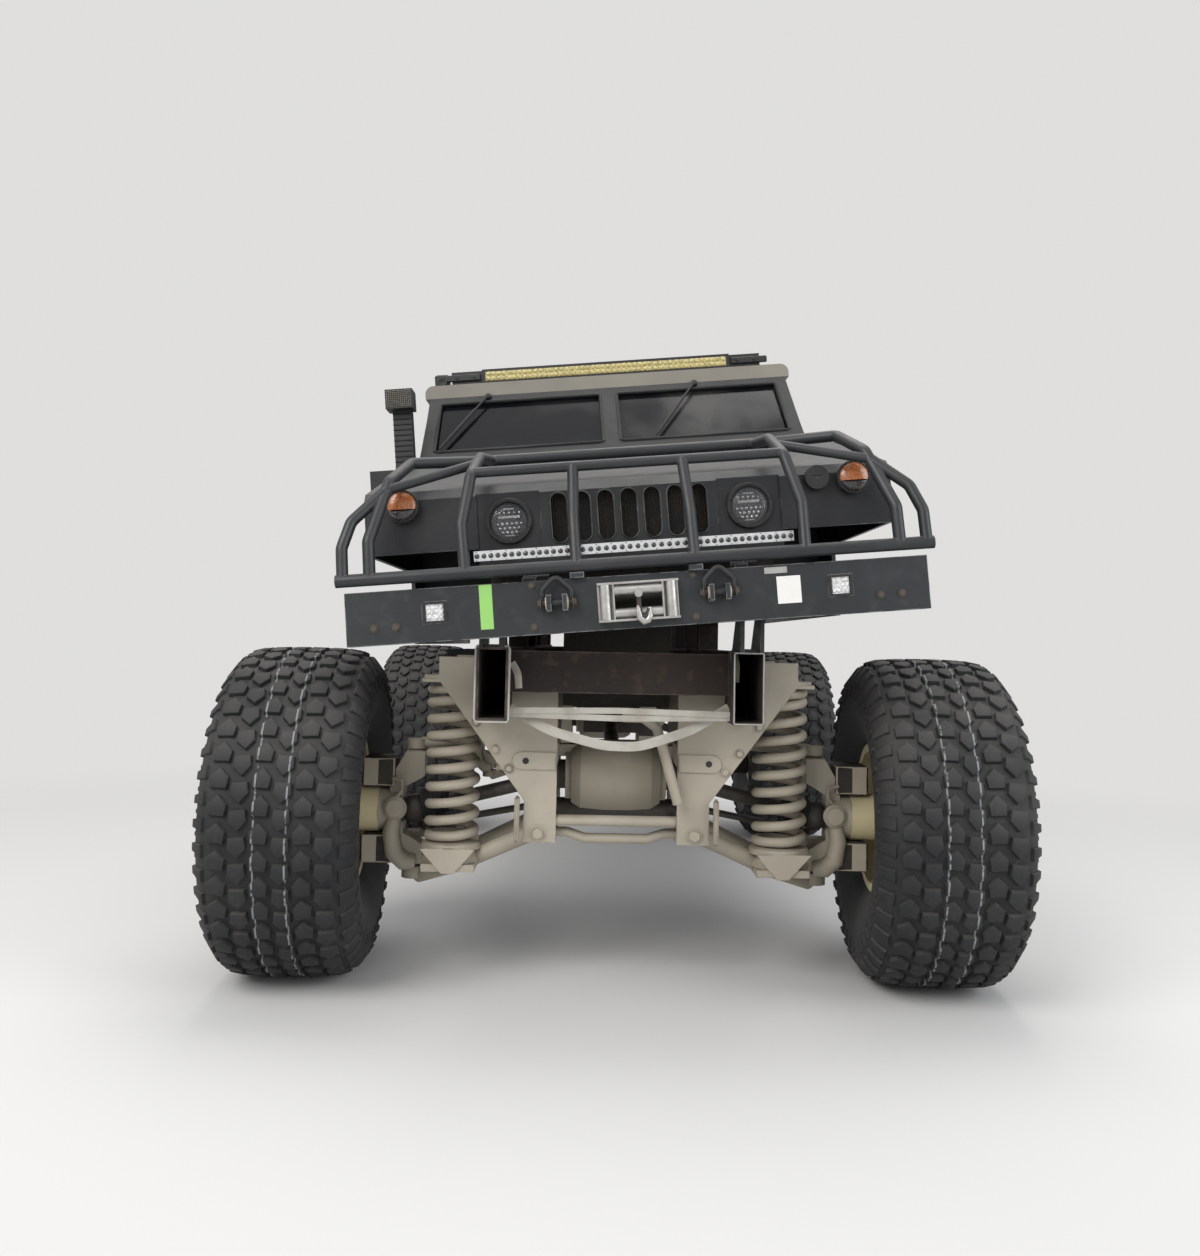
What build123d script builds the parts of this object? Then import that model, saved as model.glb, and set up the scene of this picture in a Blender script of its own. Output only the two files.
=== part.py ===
from build123d import *
import math
import os

# Lifted off-road truck: a two-pane, four-door military style body and cargo bed, leaned over on a
# rectangular-tube frame with four double-wishbone corners and very large block-tread tyres.
# Millimetres, +Z up, the front of the truck faces -Y, +X is the driver's side.
# The origin is on the ground, half way between the two axles.

# Driving dimensions of the running gear
wheelbase = 3550
track = 2650                 # between the middles of the two tyres of an axle
tyre_radius = 686
tyre_width = 610
tyre_tread_flat = 470        # width of the tread before the shoulders turn down
tyre_sidewall_r = 545        # radius where the sidewall is widest
tyre_wall = 30
bead_radius = 290
bead_width = 420
rim_wall = 12
rim_disc_x = 95              # offset of the wheel disc from the tyre's middle, outwards
rim_disc_t = 16
rim_hand_holes = 8
hub_r = 98
toe_in = 3.0                 # degrees, each front wheel
kingpin_x = 860

# Frame
rail_x = 495                 # middle of each rail
rail_w = 120
rail_h = 280
rail_wall = 8
rail_top = 1388
rail_front = 560             # the rails' open ends, ahead of the front axle
rail_rear = 690              # behind the rear axle
cross_w = 100
cross_h = 165
cross_top = 1377

# Suspension corners
carrier_half = 300           # from the axle line to each carrier plate
carrier_t = 14
tower_top = 1345
spring_x = 682
spring_y = -165              # the spring stands ahead of the half shaft
spring_r = 95                # to the middle of the wire
spring_wire = 20
spring_low = 572
spring_top = 1240
lower_pivot = (318, 640)     # x and z of the lower arm's frame pivots
upper_pivot = (420, 990)
upper_y = (14, 216)          # both bushes of the upper arm stand behind the spring
arm_mid = (650, 485)         # x and z where the lower arm's legs turn towards the ball joint
lower_ball_z = 441
upper_ball_z = 944
arm_r = 34
ball_r = 52
diff_r = 150
diff_flange_r = 105
diff_half = 215
diff_z = 845
shaft_r = 30
boot_r = 62
gap = 6                      # running clearance between bodies
seat = 0.3                   # clearance where a moving piece is carried
hub_reach = 150              # from the kingpin to the outer end of the hub's sleeve
foot_top = 650               # top of the plate that joins a carrier's two feet
rack_y = 120                 # steering rack, behind the axle line
rack_z = 690
rack_r = 38
rack_half = 262
rack_bar_r = 16
pinion_back = 33             # behind the rack's axis, clear of the differential
pinion_low = 24                  # its housing starts this far under the rack's axis
pinion_high = 68
pinion_r = 28
rack_ball_x = 360
ball_joint_r = 24
track_rod_r = 15
steer_arm_in = 24            # the arm's eye stands this far inside the kingpin
steer_arm_z = 556
steer_arm_t = 24
eye_r = 24
eye_h = 30

# Body
body_lean = 5.0              # degrees, the body sits higher on the +X side
body_shift = 70              # the body's middle is this far to +X at the lean's pivot
lean_pivot_z = 1400
body_half = 1040
sheet = 18
pillar_t = 50
tunnel_half = 300
tunnel_top = 1850
sill_z = 1480
floor_z = 1560
hood_front = 500             # ahead of the front axle
hood_low = 1825
hood_front_z = 2075
cowl_z = 2430
cowl_y = 870                 # behind the front axle
screen_y = 960
screen_top_y = 1180
header_z = 2805              # middle of the windscreen frame's top edge
screen_half_t = 25
roof_top = 2890
roof_half = 1000
door_t = 45
front_door = (965, 1795)     # behind the front axle
rear_door = (1865, 2635)
cab_rear = 2740
seat_rows = (1250, 2060)
hinge_z = (1780, 2210)
hinge_r = 10
gate_hinge_x = (-700, 0, 700)
bed_front = 2780
bed_top = 2300
bed_floor = 1650
bumper_half = 1085
bumper_low = 1472
bumper_high = 1672
bumper_y = (735, 640)        # front and back face ahead of the front axle
guard_r = 24                 # the guard's low tube
hoop_r = 23
upright_r = 22
inner_upright_r = 21.5
guard_tie_r = 20
guard_strut_r = 19
guard_y = 750
guard_z = 1717
hood_hinge = (-520, 1700)     # y behind the front axle and z of the hood's hinge line
hood_hinge_x = (-380, 430)
signal_x = 885
signal_z = 2008
signal_r = 66
signal_deep = 45
shield_lamp_x = 742
shield_lamp_r = 50
pod_x = 755
pod_z = 1580
pod_half = (45, 40)          # half the width and height of a bumper lamp
fairlead_z = (1500, 1645)
roller_r = 18
shackle_z = 1585
shackle_pin_r = 12

axle_f = -wheelbase / 2
axle_r = wheelbase / 2
front_end = axle_f - bumper_y[0] - 69
bed_end = -front_end - 30

screen_tilt = math.atan2(screen_top_y - screen_y, header_z - cowl_z)
screen_drop = screen_half_t * math.sin(screen_tilt)
deck_z = cowl_z - screen_drop
roof_low = header_z + screen_drop

wheel_axis = Vector(0, 190, 66).normalized()
column_end = Vector(560, axle_f + 1290, 2286)

BODY = Pos(body_shift, 0, lean_pivot_z) * Rot(0, -body_lean, 0) * Pos(0, 0, -lean_pivot_z)


def block(x0, x1, y0, y1, z0, z1):
    """A box between two corners."""
    return Pos((x0 + x1) / 2, (y0 + y1) / 2, (z0 + z1) / 2) * Box(abs(x1 - x0), abs(y1 - y0), abs(z1 - z0))


def rod(p, q, r):
    """A round bar from point p to point q."""
    p, q = Vector(*p), Vector(*q)
    d = q - p
    return Plane(origin=p, z_dir=d) * Cylinder(r, d.length, align=(Align.CENTER, Align.CENTER, Align.MIN))


def x_prism(points, x0, x1):
    """A polygon given as (y, z) points, pushed from x0 to x1."""
    face = Plane(origin=(x0, 0, 0), x_dir=(0, 1, 0), z_dir=(1, 0, 0)) * make_face(Polyline(*points, close=True))
    return extrude(face, x1 - x0, dir=(1, 0, 0))


def y_prism(points, y0, y1):
    """A polygon given as (x, z) points, pushed from y0 to y1."""
    face = Plane(origin=(0, y0, 0), x_dir=(1, 0, 0), z_dir=(0, -1, 0)) * make_face(Polyline(*points, close=True))
    return extrude(face, y1 - y0, dir=(0, 1, 0))


def bent_tube(points, r, bend):
    """A round tube along straight runs joined by arcs."""
    path = FilletPolyline(*points, radius=bend)
    return sweep(Plane(path @ 0, z_dir=path % 0) * Circle(r), path)


def mirrored(shape):
    """The shape and its mirror image across the truck's middle plane."""
    return [shape, mirror(shape, Plane.YZ)]


def fused(shapes):
    """One solid from shapes that touch."""
    total = shapes[0]
    for s in shapes[1:]:
        total = total + s
    return total


def save(name, shapes, place=None):
    """Write a node's solids to parts/NAME.step, each one placed first."""
    solids = []
    for shape in shapes:
        for solid in shape.solids():
            solids.append(place * solid if place is not None else solid)
    group = solids[0] if len(solids) == 1 else Compound(children=solids)
    export_step(group, f"parts/{name}.step")


# Frame

def make_frame():
    rails = []
    for side in (-1, 1):
        outer = block(side * rail_x - rail_w / 2, side * rail_x + rail_w / 2,
                      axle_f - rail_front, axle_r + rail_rear, rail_top - rail_h, rail_top)
        bore = block(side * rail_x - rail_w / 2 + rail_wall, side * rail_x + rail_w / 2 - rail_wall,
                     axle_f - rail_front - 1, axle_r + rail_rear + 1,
                     rail_top - rail_h + rail_wall, rail_top - rail_wall)
        rails.append(outer - bore)
    inner = rail_x - rail_w / 2
    beams = []
    for y in (axle_f - 420, -350, 450, axle_r - 520, axle_r + rail_rear - 160):
        beams.append(block(-inner, inner, y, y + cross_w, cross_top - cross_h, cross_top))
    return rails + beams


# Suspension

def make_carrier(axle, side):
    """A corner's carrier: two plates that hold the arms, tied by the spring tower and a foot."""
    outline = [(245, 602), (376, 602), (376, 770), (734, 1250), (734, tower_top), (245, tower_top)]
    rail_gap = [(rail_x - rail_w / 2, rail_top - rail_h), (rail_x + rail_w / 2, rail_top - rail_h),
                (rail_x + rail_w / 2, tower_top + 10), (rail_x - rail_w / 2, tower_top + 10)]
    pieces = []
    for y0 in (axle - carrier_half, axle + carrier_half - carrier_t):
        plate = y_prism(outline, y0, y0 + carrier_t)
        pieces.append(plate - y_prism(rail_gap, y0 - 1, y0 + carrier_t + 1))
    a, b = axle - carrier_half + carrier_t, axle + carrier_half - carrier_t
    rail_side = rail_x + rail_w / 2
    pieces.append(block(rail_side, 804, a, b, spring_top, spring_top + carrier_t))
    pieces.append(block(rail_side, rail_side + carrier_t, a, b, spring_top, tower_top))
    pieces.append(block(245, 262, a, b, 602, foot_top))
    pieces.append(block(245, 262, a, b, 912, 995))
    for z in (lower_pivot[1], upper_pivot[1]):
        x = lower_pivot[0] if z == lower_pivot[1] else upper_pivot[0]
        pieces.append(rod((x, a, z), (x, b, z), 20))
    carrier = fused(pieces)
    return carrier if side > 0 else mirror(carrier, Plane.YZ)


def make_arms(axle, side):
    """The lower and upper wishbones of one corner."""
    reach = carrier_half - carrier_t - 70
    arms = []
    ball = kingpin_x
    low = [rod((lower_pivot[0], axle + s * (reach - 30), lower_pivot[1]),
               (lower_pivot[0], axle + s * (reach + 40), lower_pivot[1]), 42) for s in (-1, 1)]
    for s in (-1, 1):
        mid = (arm_mid[0], axle + s * 150, arm_mid[1])
        low.append(rod((lower_pivot[0], axle + s * reach, lower_pivot[1]), mid, arm_r))
        low.append(rod(mid, (ball - 20, axle, lower_ball_z - 36), arm_r))
    seat_z = arm_mid[1] + 20
    low.append(block(575, 790, axle - 285, axle + 150, seat_z - 30, seat_z))
    low.append(Pos(spring_x, axle + spring_y, (seat_z + spring_low) / 2) * Cone(125, 90, spring_low - seat_z))
    low.append(Pos(ball, axle, lower_ball_z - 20) * Cylinder(ball_r, 50))
    low.append(rod((ball, axle, lower_ball_z), (ball, axle, lower_ball_z + 18 - seat), 22))
    lower = fused(low)
    bore = rod((lower_pivot[0], axle - carrier_half, lower_pivot[1]),
               (lower_pivot[0], axle + carrier_half, lower_pivot[1]), 20)
    arms.append(lower - bore)
    up = []
    for y in (upper_y[0], upper_y[1]):
        up.append(rod((upper_pivot[0], axle + y - 30, upper_pivot[1]), (upper_pivot[0], axle + y + 30, upper_pivot[1]), 34))
        up.append(rod((upper_pivot[0], axle + y, upper_pivot[1]), (ball - 20, axle, upper_ball_z + 24), 24))
    up.append(Pos(ball, axle, upper_ball_z + 20) * Cylinder(42, 40))
    up.append(rod((ball, axle, upper_ball_z - 5 + seat), (ball, axle, upper_ball_z + 10), 20))
    bore = rod((upper_pivot[0], axle - carrier_half, upper_pivot[1]),
               (upper_pivot[0], axle + carrier_half, upper_pivot[1]), 20)
    arms.append(fused(up) - bore)
    return arms if side > 0 else [mirror(a, Plane.YZ) for a in arms]


def make_spring(axle, side):
    """A plain sleeve of the coil's size."""
    tall = spring_top - spring_low
    ring = Cylinder(spring_r + spring_wire, tall) - Cylinder(spring_r - spring_wire, tall + 2)
    return Pos(side * spring_x, axle + spring_y, (spring_top + spring_low) / 2) * ring


def make_knuckle(side, axle):
    """An upright with its two ball-joint bosses and the hub's sleeve, open round the shaft's joint."""
    post = y_prism([(kingpin_x - 40, lower_ball_z + 18), (kingpin_x + 60, lower_ball_z + 18),
                    (kingpin_x + 105, 560), (kingpin_x + 105, 820), (kingpin_x + 40, upper_ball_z - 10),
                    (kingpin_x - 40, upper_ball_z - 10), (kingpin_x - 40, 830), (kingpin_x + 45, 780),
                    (kingpin_x + 45, 590), (kingpin_x - 40, 540)], axle - 55, axle + 55)
    hub = rod((kingpin_x + 60, axle, tyre_radius), (kingpin_x + hub_reach, axle, tyre_radius), 92)
    top = Pos(kingpin_x, axle, upper_ball_z - 20) * Cylinder(44, 30)
    low = Pos(kingpin_x, axle, lower_ball_z + 33) * Cylinder(50, 30)
    solid = fused([post, hub, top, low, make_steer_arm(axle)])
    solid = solid - rod((kingpin_x, axle - 100, tyre_radius), (kingpin_x, axle + 100, tyre_radius), boot_r + gap + 2)
    solid = fused([solid] + make_calipers(axle))
    return solid if side > 0 else mirror(solid, Plane.YZ)


def make_calipers(axle):
    """Two caliper blocks on an upright's outer side, above and below the hub."""
    return [block(kingpin_x + 85, kingpin_x + 215, axle - 70, axle + 70, z, z + 115) for z in (467, 790)]


def make_tyre():
    """A tyre about the X axis, out to the tips of its tread blocks."""
    h, f = tyre_width / 2, tyre_tread_flat / 2
    b = bead_width / 2
    lip = bead_radius + 26
    outline = [(-b, bead_radius), (-b, lip), (-h, tyre_sidewall_r - 60), (-h, tyre_sidewall_r + 60),
               (-f, tyre_radius), (f, tyre_radius), (h, tyre_sidewall_r + 60), (h, tyre_sidewall_r - 60),
               (b, lip), (b, bead_radius)]
    inner = [(-b + tyre_wall, bead_radius), (-h + tyre_wall, tyre_sidewall_r), (-f, tyre_radius - 2 * tyre_wall),
             (f, tyre_radius - 2 * tyre_wall), (h - tyre_wall, tyre_sidewall_r), (b - tyre_wall, bead_radius)]
    face = make_face(Polyline(*outline, close=True)) - make_face(Polyline(*inner, close=True))
    return revolve(face, Axis.X, 360)


def make_rim():
    """A wheel about the X axis, its open side towards -X: barrel, disc, hub and hand holes."""
    b, r, t = bead_width / 2, bead_radius, rim_wall
    barrel = [(-b - 14, r + 22), (-b, r + 22), (-b, r), (b, r), (b, r + 22), (b + 14, r + 22),
              (b + 14, r - t), (-b - 14, r - t)]
    disc = [(rim_disc_x, 0), (rim_disc_x, r - t + 1), (rim_disc_x + rim_disc_t, r - t + 1),
            (rim_disc_x + rim_disc_t, 0)]
    inner = kingpin_x + hub_reach + seat - track / 2
    hub = [(inner, 0), (inner, hub_r), (rim_disc_x + 60, hub_r), (rim_disc_x + 75, hub_r - 20), (rim_disc_x + 75, 0)]
    wheel = fused([revolve(make_face(Polyline(*p, close=True)), Axis.X, 360) for p in (barrel, disc, hub)])
    for k in range(rim_hand_holes):
        a = 360 * (k + 0.5) / rim_hand_holes
        slot = extrude(Plane.YZ * SlotOverall(86, 46), rim_disc_t + 20)
        wheel = wheel - Rot(a, 0, 0) * Pos(rim_disc_x - 10, 0, 215) * slot
    return wheel


def wheel_place(side, axle):
    """Where a wheel made about the X axis goes, its outer side away from the truck."""
    turn = 0 if side > 0 else 180
    return Pos(side * track / 2, axle, tyre_radius) * Rot(0, 0, turn)


def toed(shape, side):
    """A front wheel's piece turned in about its kingpin."""
    return Pos(side * kingpin_x, axle_f, 0) * Rot(0, 0, -side * toe_in) * Pos(-side * kingpin_x, -axle_f, 0) * shape


def steering_ends(axle):
    """The inner ball and the outer eye of a left track rod, as points."""
    inner = Vector(rack_ball_x, axle + rack_y, rack_z)
    outer = Vector(kingpin_x - steer_arm_in, axle + rack_y, steer_arm_z + steer_arm_t + gap + eye_h / 2)
    return inner, outer


def make_steer_arm(axle):
    """The arm of a left upright that the track rod moves, behind the kingpin."""
    y0, y1 = axle + 40, axle + rack_y
    arm = block(kingpin_x - steer_arm_in - 10, kingpin_x + 60, y0, y1, steer_arm_z, steer_arm_z + steer_arm_t)
    end = Pos(kingpin_x - steer_arm_in, y1, steer_arm_z + steer_arm_t / 2) * Cylinder(eye_r, steer_arm_t)
    return arm + end


def make_track_rod(axle, side, drop):
    """A track rod: the inner ball, the rod and the outer eye, which stands `drop` lower for a fixed link."""
    inner, outer = steering_ends(axle)
    outer = outer - Vector(0, 0, drop)
    rod_ = fused([Pos(*inner) * Cylinder(ball_joint_r, 2 * ball_joint_r, rotation=(0, 90, 0)),
                  rod(tuple(inner), tuple(outer), track_rod_r), Pos(*outer) * Cylinder(eye_r, eye_h)])
    return rod_ if side > 0 else mirror(rod_, Plane.YZ)


def make_rack(axle):
    """The steering rack's housing, open at both ends for the bar, on brackets that stand on the carriers' feet."""
    y, z = axle + rack_y, rack_z
    housing = rod((-rack_half, y, z), (rack_half, y, z), rack_r)
    feet = [block(s * 245, s * rack_half, y - 25, y + 25, foot_top, z) for s in (-1, 1)]
    pinion = rod((190, y + pinion_back, z - pinion_low), (190, y + pinion_back, z + pinion_high), pinion_r)
    bore = rod((-rack_half - 1, y, z), (rack_half + 1, y, z), rack_bar_r + seat)
    return fused([housing, pinion] + feet) - bore


def make_steering_bar(axle):
    """The rack's sliding bar with a track rod at each end."""
    y, z = axle + rack_y, rack_z
    bar = rod((-rack_ball_x, y, z), (rack_ball_x, y, z), rack_bar_r)
    return fused([bar, make_track_rod(axle, 1, 0), make_track_rod(axle, -1, 0)])


def make_fixed_link(axle, side):
    """A rear toe link, its inner ball held by a bracket that stands on the carrier's foot."""
    y = axle + rack_y
    bracket = block(side * 245, side * rack_ball_x, y - 14, y + 14, foot_top, rack_z)
    bracket = bracket - block(side * 262, side * (rack_ball_x + 1), y - 15, y + 15, foot_top - 1, rack_z - 16)
    return fused([make_track_rod(axle, side, gap), bracket])


def make_diff(axle):
    """An axle's differential: a bulged drum between two flanges, its nose and its mounting bar."""
    r, f, h = diff_r, diff_flange_r, diff_half
    half = [(0, r), (60, r), (h - 65, r - 7), (h - 25, r - 30), (h - 25, f), (h, f), (h, 0)]
    outline = half + [(-x, y) for x, y in reversed(half[1:])]
    drum = revolve(make_face(Polyline(*outline, close=True)), Axis.X, 360)
    drum = Pos(0, axle, diff_z) * drum
    nose = rod((0, axle, diff_z), (0, axle - math.copysign(220, axle), diff_z), 70)
    bar = block(-245, 245, axle - 40, axle + 40, diff_z + 80, diff_z + 130)
    return fused([drum, nose, bar])


def make_half_shafts(axle, side):
    """A half shaft from the differential's side to the joint on the kingpin's line."""
    inner = (side * diff_half, axle, diff_z)
    outer = (side * kingpin_x, axle, tyre_radius)
    shaft = rod((side * (diff_half + 30), axle, diff_z - 7), outer, shaft_r)
    ball = Pos(*outer) * Sphere(boot_r)
    cup = rod(inner, (side * (diff_half + 65), axle, diff_z), 62)
    return fused([shaft, ball, cup])


def make_cross_tubes(axle):
    """The two low tubes that tie an axle's left and right carriers."""
    straight = rod((-250, axle - 270, 690), (250, axle - 270, 690), 22)
    bowed = bent_tube([(-250, axle - 225, 636), (-200, axle - 225, 636), (-130, axle - 225, 612),
                       (130, axle - 225, 612), (200, axle - 225, 636), (250, axle - 225, 636)], 20, 60)
    return [straight, bowed]


def make_driveline():
    case = block(-150, 170, -220, 180, 900, 1180) + block(170, 260, -180, 60, 880, 1010)
    case = case + block(-80, 80, -250, -190, 1100, 1300)
    props = []
    for y0, y1 in ((axle_f + 220, -220), (180, axle_r - 220)):
        z0, z1 = (diff_z, 960) if y0 < 0 else (960, diff_z)
        props.append(fused([rod((0, y0, z0), (0, y0 + 26, z0), 60), rod((0, y1 - 26, z1), (0, y1, z1), 60),
                            rod((0, y0 + 14, z0), (0, y1 - 14, z1), 38)]))
    return case, props


def make_engine():
    """A plain block for the engine with its mounts, and the gearbox behind it."""
    y0, y1 = axle_f + 150, axle_f + 850
    inner = rail_x - rail_w / 2
    motor = block(-240, 240, y0, y1, 1130, 1850)
    mounts = block(-inner, inner, y0 + 250, y0 + 340, 1200, 1260)
    gearbox = block(-180, 180, y1, axle_f + 1400, 1150, 1500)
    return fused([motor, mounts, gearbox])


def make_radiator():
    return block(-560, 560, axle_f - 420, axle_f - 340, 1500, 2030)


# Body, in its own upright frame before the lean

def make_hood():
    f, c = axle_f - hood_front, axle_f + cowl_y - gap
    outer = x_prism([(f, hood_low), (f, hood_front_z - 40), (f + 40, hood_front_z), (c, cowl_z), (c, hood_low)],
                    -body_half, body_half)
    t = sheet
    inner = x_prism([(f + t, hood_low - 1), (f + t, hood_front_z - 40 - t), (f + 40 + t, hood_front_z - t),
                     (c + 1, cowl_z - t), (c + 1, hood_low - 1)], -body_half + t, body_half - t)
    shell = outer - inner
    chin = block(-600, 600, f, f + t, 1725, hood_low)
    shell = shell + chin
    for x in hood_hinge_x:
        y, z = axle_f + hood_hinge[0], hood_hinge[1]
        shell = shell + rod((x + seat, y, z), (x + 50, y, z), 14)
        shell = shell + block(x + seat, x + 50, y, f + t, z + 4, 1726)
    for side in (-1, 1):
        x = side * 475
        shell = shell - block(x - 125, x + 125, f - 1, f + 8, 1805, 2050)
        shell = shell - rod((x, f - 5, 1928), (x, f + t + 5, 1928), 92)
    for k in range(7):
        x = 92 * (k - 3)
        slot = extrude(Plane(origin=(x, f - 5, 1928), x_dir=(0, 0, 1), z_dir=(0, 1, 0)) * SlotOverall(200, 66), t + 15)
        shell = shell - slot
    return shell


def make_headlights():
    out = []
    f = axle_f - hood_front
    for side in (-1, 1):
        out.append(rod((side * 475, f - 12, 1928), (side * 475, f + 60, 1928), 91.5))
    return out


def make_turn_signals():
    """A round signal at each end of the hood's face, and the small shielded lamp on the driver's side."""
    f = axle_f - hood_front
    out = [rod((side * signal_x, f - signal_deep, signal_z), (side * signal_x, f, signal_z), signal_r)
           for side in (-1, 1)]
    out.append(rod((shield_lamp_x, f - signal_deep, signal_z + 8), (shield_lamp_x, f, signal_z + 8), shield_lamp_r))
    return out


def guard_tubes():
    """The guard's tubes as (points, radius, bend radius); the doubled ones are mirrored."""
    y = axle_f
    single = [
        ([(-1110, y - guard_y, guard_z), (1110, y - guard_y, guard_z)], guard_r, 0),
        ([(-985, y - guard_y, guard_z), (-985, y - 735, 1860), (-915, y - 620, 2095), (-850, y - 450, 2190),
          (-590, y - 330, 2200), (590, y - 330, 2200), (850, y - 450, 2190), (915, y - 620, 2095),
          (985, y - 735, 1860), (985, y - guard_y, guard_z)], hoop_r, 45),
        ([(-590, y - 625, 2108), (590, y - 625, 2108)], guard_tie_r, 0),
    ]
    pairs = [
        ([(632, y - guard_y, guard_z), (640, y - 710, 1900), (600, y - 635, 2100), (575, y - 480, 2190),
          (540, y - 330, 2200)], upright_r, 50),
        ([(220, y - guard_y, guard_z), (220, y - 700, 1900), (210, y - 625, 2108)], inner_upright_r, 80),
        ([(1085, y - guard_y, guard_z), (1085, y - 735, 1840), (1050, y - 705, 1940), (930, y - 645, 2055)],
         upright_r, 60),
        ([(925, y - 640, 2060), (590, y - 540, 2155)], guard_strut_r, 0),
    ]
    return single, pairs


def make_guard():
    single, pairs = guard_tubes()
    shapes = []
    for points, r, bend in single:
        shapes.append(bent_tube(points, r, bend) if bend else rod(points[0], points[1], r))
    for points, r, bend in pairs:
        tube = bent_tube(points, r, bend) if bend else rod(points[0], points[1], r)
        shapes += mirrored(tube)
    return fused(shapes)


def make_bumper():
    front, back = axle_f - bumper_y[0], axle_f - bumper_y[1]
    beam = block(-bumper_half, bumper_half, front, back, bumper_low, bumper_high)
    beam = beam - block(-95, 95, front - 1, back + 1, 1540, 1605)
    hole_w, hole_h = pod_half[0] + seat, pod_half[1] + seat
    for x in (-pod_x, pod_x):
        beam = beam - block(x - hole_w, x + hole_w, front - 1, front + 60, pod_z - hole_h, pod_z + hole_h)
    ears = []
    for x in (-300, 300):
        for s in (-1, 1):
            ears.append(block(x + s * 30 - 9, x + s * 30 + 9, front - 55, front, 1555, 1615)
                        - rod((x - 60, front - 30, shackle_z), (x + 60, front - 30, shackle_z), shackle_pin_r + 0.3))
    posts = []
    for x in (-220, 220):
        posts.append(block(x - 26, x + 26, axle_f - guard_y - 15, front + 40,
                           bumper_high, guard_z - guard_r - seat))
    for x in hood_hinge_x:
        y, z = axle_f + hood_hinge[0], hood_hinge[1]
        posts.append(block(x - 50, x, back, y, z - 90, z - 8))
        posts.append(rod((x - 50, y, z), (x, y, z), 14))
    return fused([beam] + ears + posts)


def make_bumper_brackets():
    out = []
    b = axle_f - bumper_y[1]
    for side in (-1, 1):
        x = side * rail_x
        top = 1640 if side > 0 else 1590
        out.append(x_prism([(b, rail_top), (b, top), (b + 60, top), (b + 260, rail_top)], x - 45, x - 30)
                   + x_prism([(b, rail_top), (b, top), (b + 60, top), (b + 260, rail_top)], x + 30, x + 45)
                   + block(x - 45, x + 45, b + 82, b + 260, rail_top, rail_top + 12))
    return out


def make_winch():
    back = axle_f - bumper_y[1]
    y = back + 90
    drum = rod((-160, y, 1570), (160, y, 1570), 45)
    ends = [block(-270, -160, back, y + 70, 1490, 1645), block(160, 270, back, y + 70, 1490, 1645)]
    front = axle_f - bumper_y[0]
    rope = rod((0, y, 1572), (0, front - 60, 1572), 5)
    hook = bent_tube([(0, front - 60, 1600), (0, front - 60, 1525), (22, front - 60, 1497), (36, front - 60, 1540)],
                     9, 14)
    return fused([drum] + ends + [rope, hook])


def make_fairlead():
    """A roller fairlead: a plate with a slot, two long rollers, and a short upright one at each end."""
    front = axle_f - bumper_y[0]
    low, high = fairlead_z
    y = front - 32
    plate = block(-150, 150, front - 12, front, low, high) - block(-88, 88, front - 13, front + 1, 1540, 1605)
    shelves = [block(-150, 150, front - 50, front - 12, z, z + 8) for z in (low, high - 8)]
    cheeks = [block(s * 88, s * 94, front - 50, front - 12, low + 8, high - 8) for s in (-1, 1)]
    rollers = [rod((-88, y, z), (88, y, z), roller_r) for z in (low + 30, high - 30)]
    ends = [rod((s * 122, y, low + 8), (s * 122, y, high - 8), roller_r + 3) for s in (-1, 1)]
    return fused([plate] + shelves + cheeks + rollers + ends)


def make_shackles():
    out = []
    front = axle_f - bumper_y[0]
    for x in (-300, 300):
        pin = rod((x - 60, front - 30, shackle_z), (x + 60, front - 30, shackle_z), shackle_pin_r)
        bow = bent_tube([(x - 52, front - 30, shackle_z), (x - 56, front - 30, shackle_z + 45),
                         (x, front - 30, shackle_z + 100), (x + 56, front - 30, shackle_z + 45),
                         (x + 52, front - 30, shackle_z)], 10, 24)
        out.append(fused([pin, bow]))
    return out


def make_pods():
    """Two square lamps let into the bumper, each with its lens set back in a rim."""
    front = axle_f - bumper_y[0]
    w, h = pod_half
    pods = []
    for x in (-pod_x, pod_x):
        pod = block(x - w, x + w, front - 5, front + 60, pod_z - h, pod_z + h)
        pods.append(pod - block(x - w + 11, x + w - 11, front - 6, front + 3, pod_z - h + 9, pod_z + h - 9))
    return pods


def make_strip(guard):
    y = axle_f
    bar = block(-600, 600, y - 712, y - 690, 1760, 1798)
    return [bar - guard]


def side_section(x_out, t, z0, z1):
    """A cab wall's cross-section: upright to the belt line, then leaning in; (x, z) points."""
    belt = 2400
    lean = 55 / (header_z - belt)
    top_in = x_out - lean * (z1 - belt)
    return [(x_out, z0), (x_out, belt), (top_in, z1), (top_in - t, z1), (x_out - t, belt), (x_out - t, z0)]


def wall(y0, y1, t, z0, z1, side):
    points = [(side * x, z) for x, z in side_section(body_half, t, z0, z1)]
    return y_prism(points, y0, y1)


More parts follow.
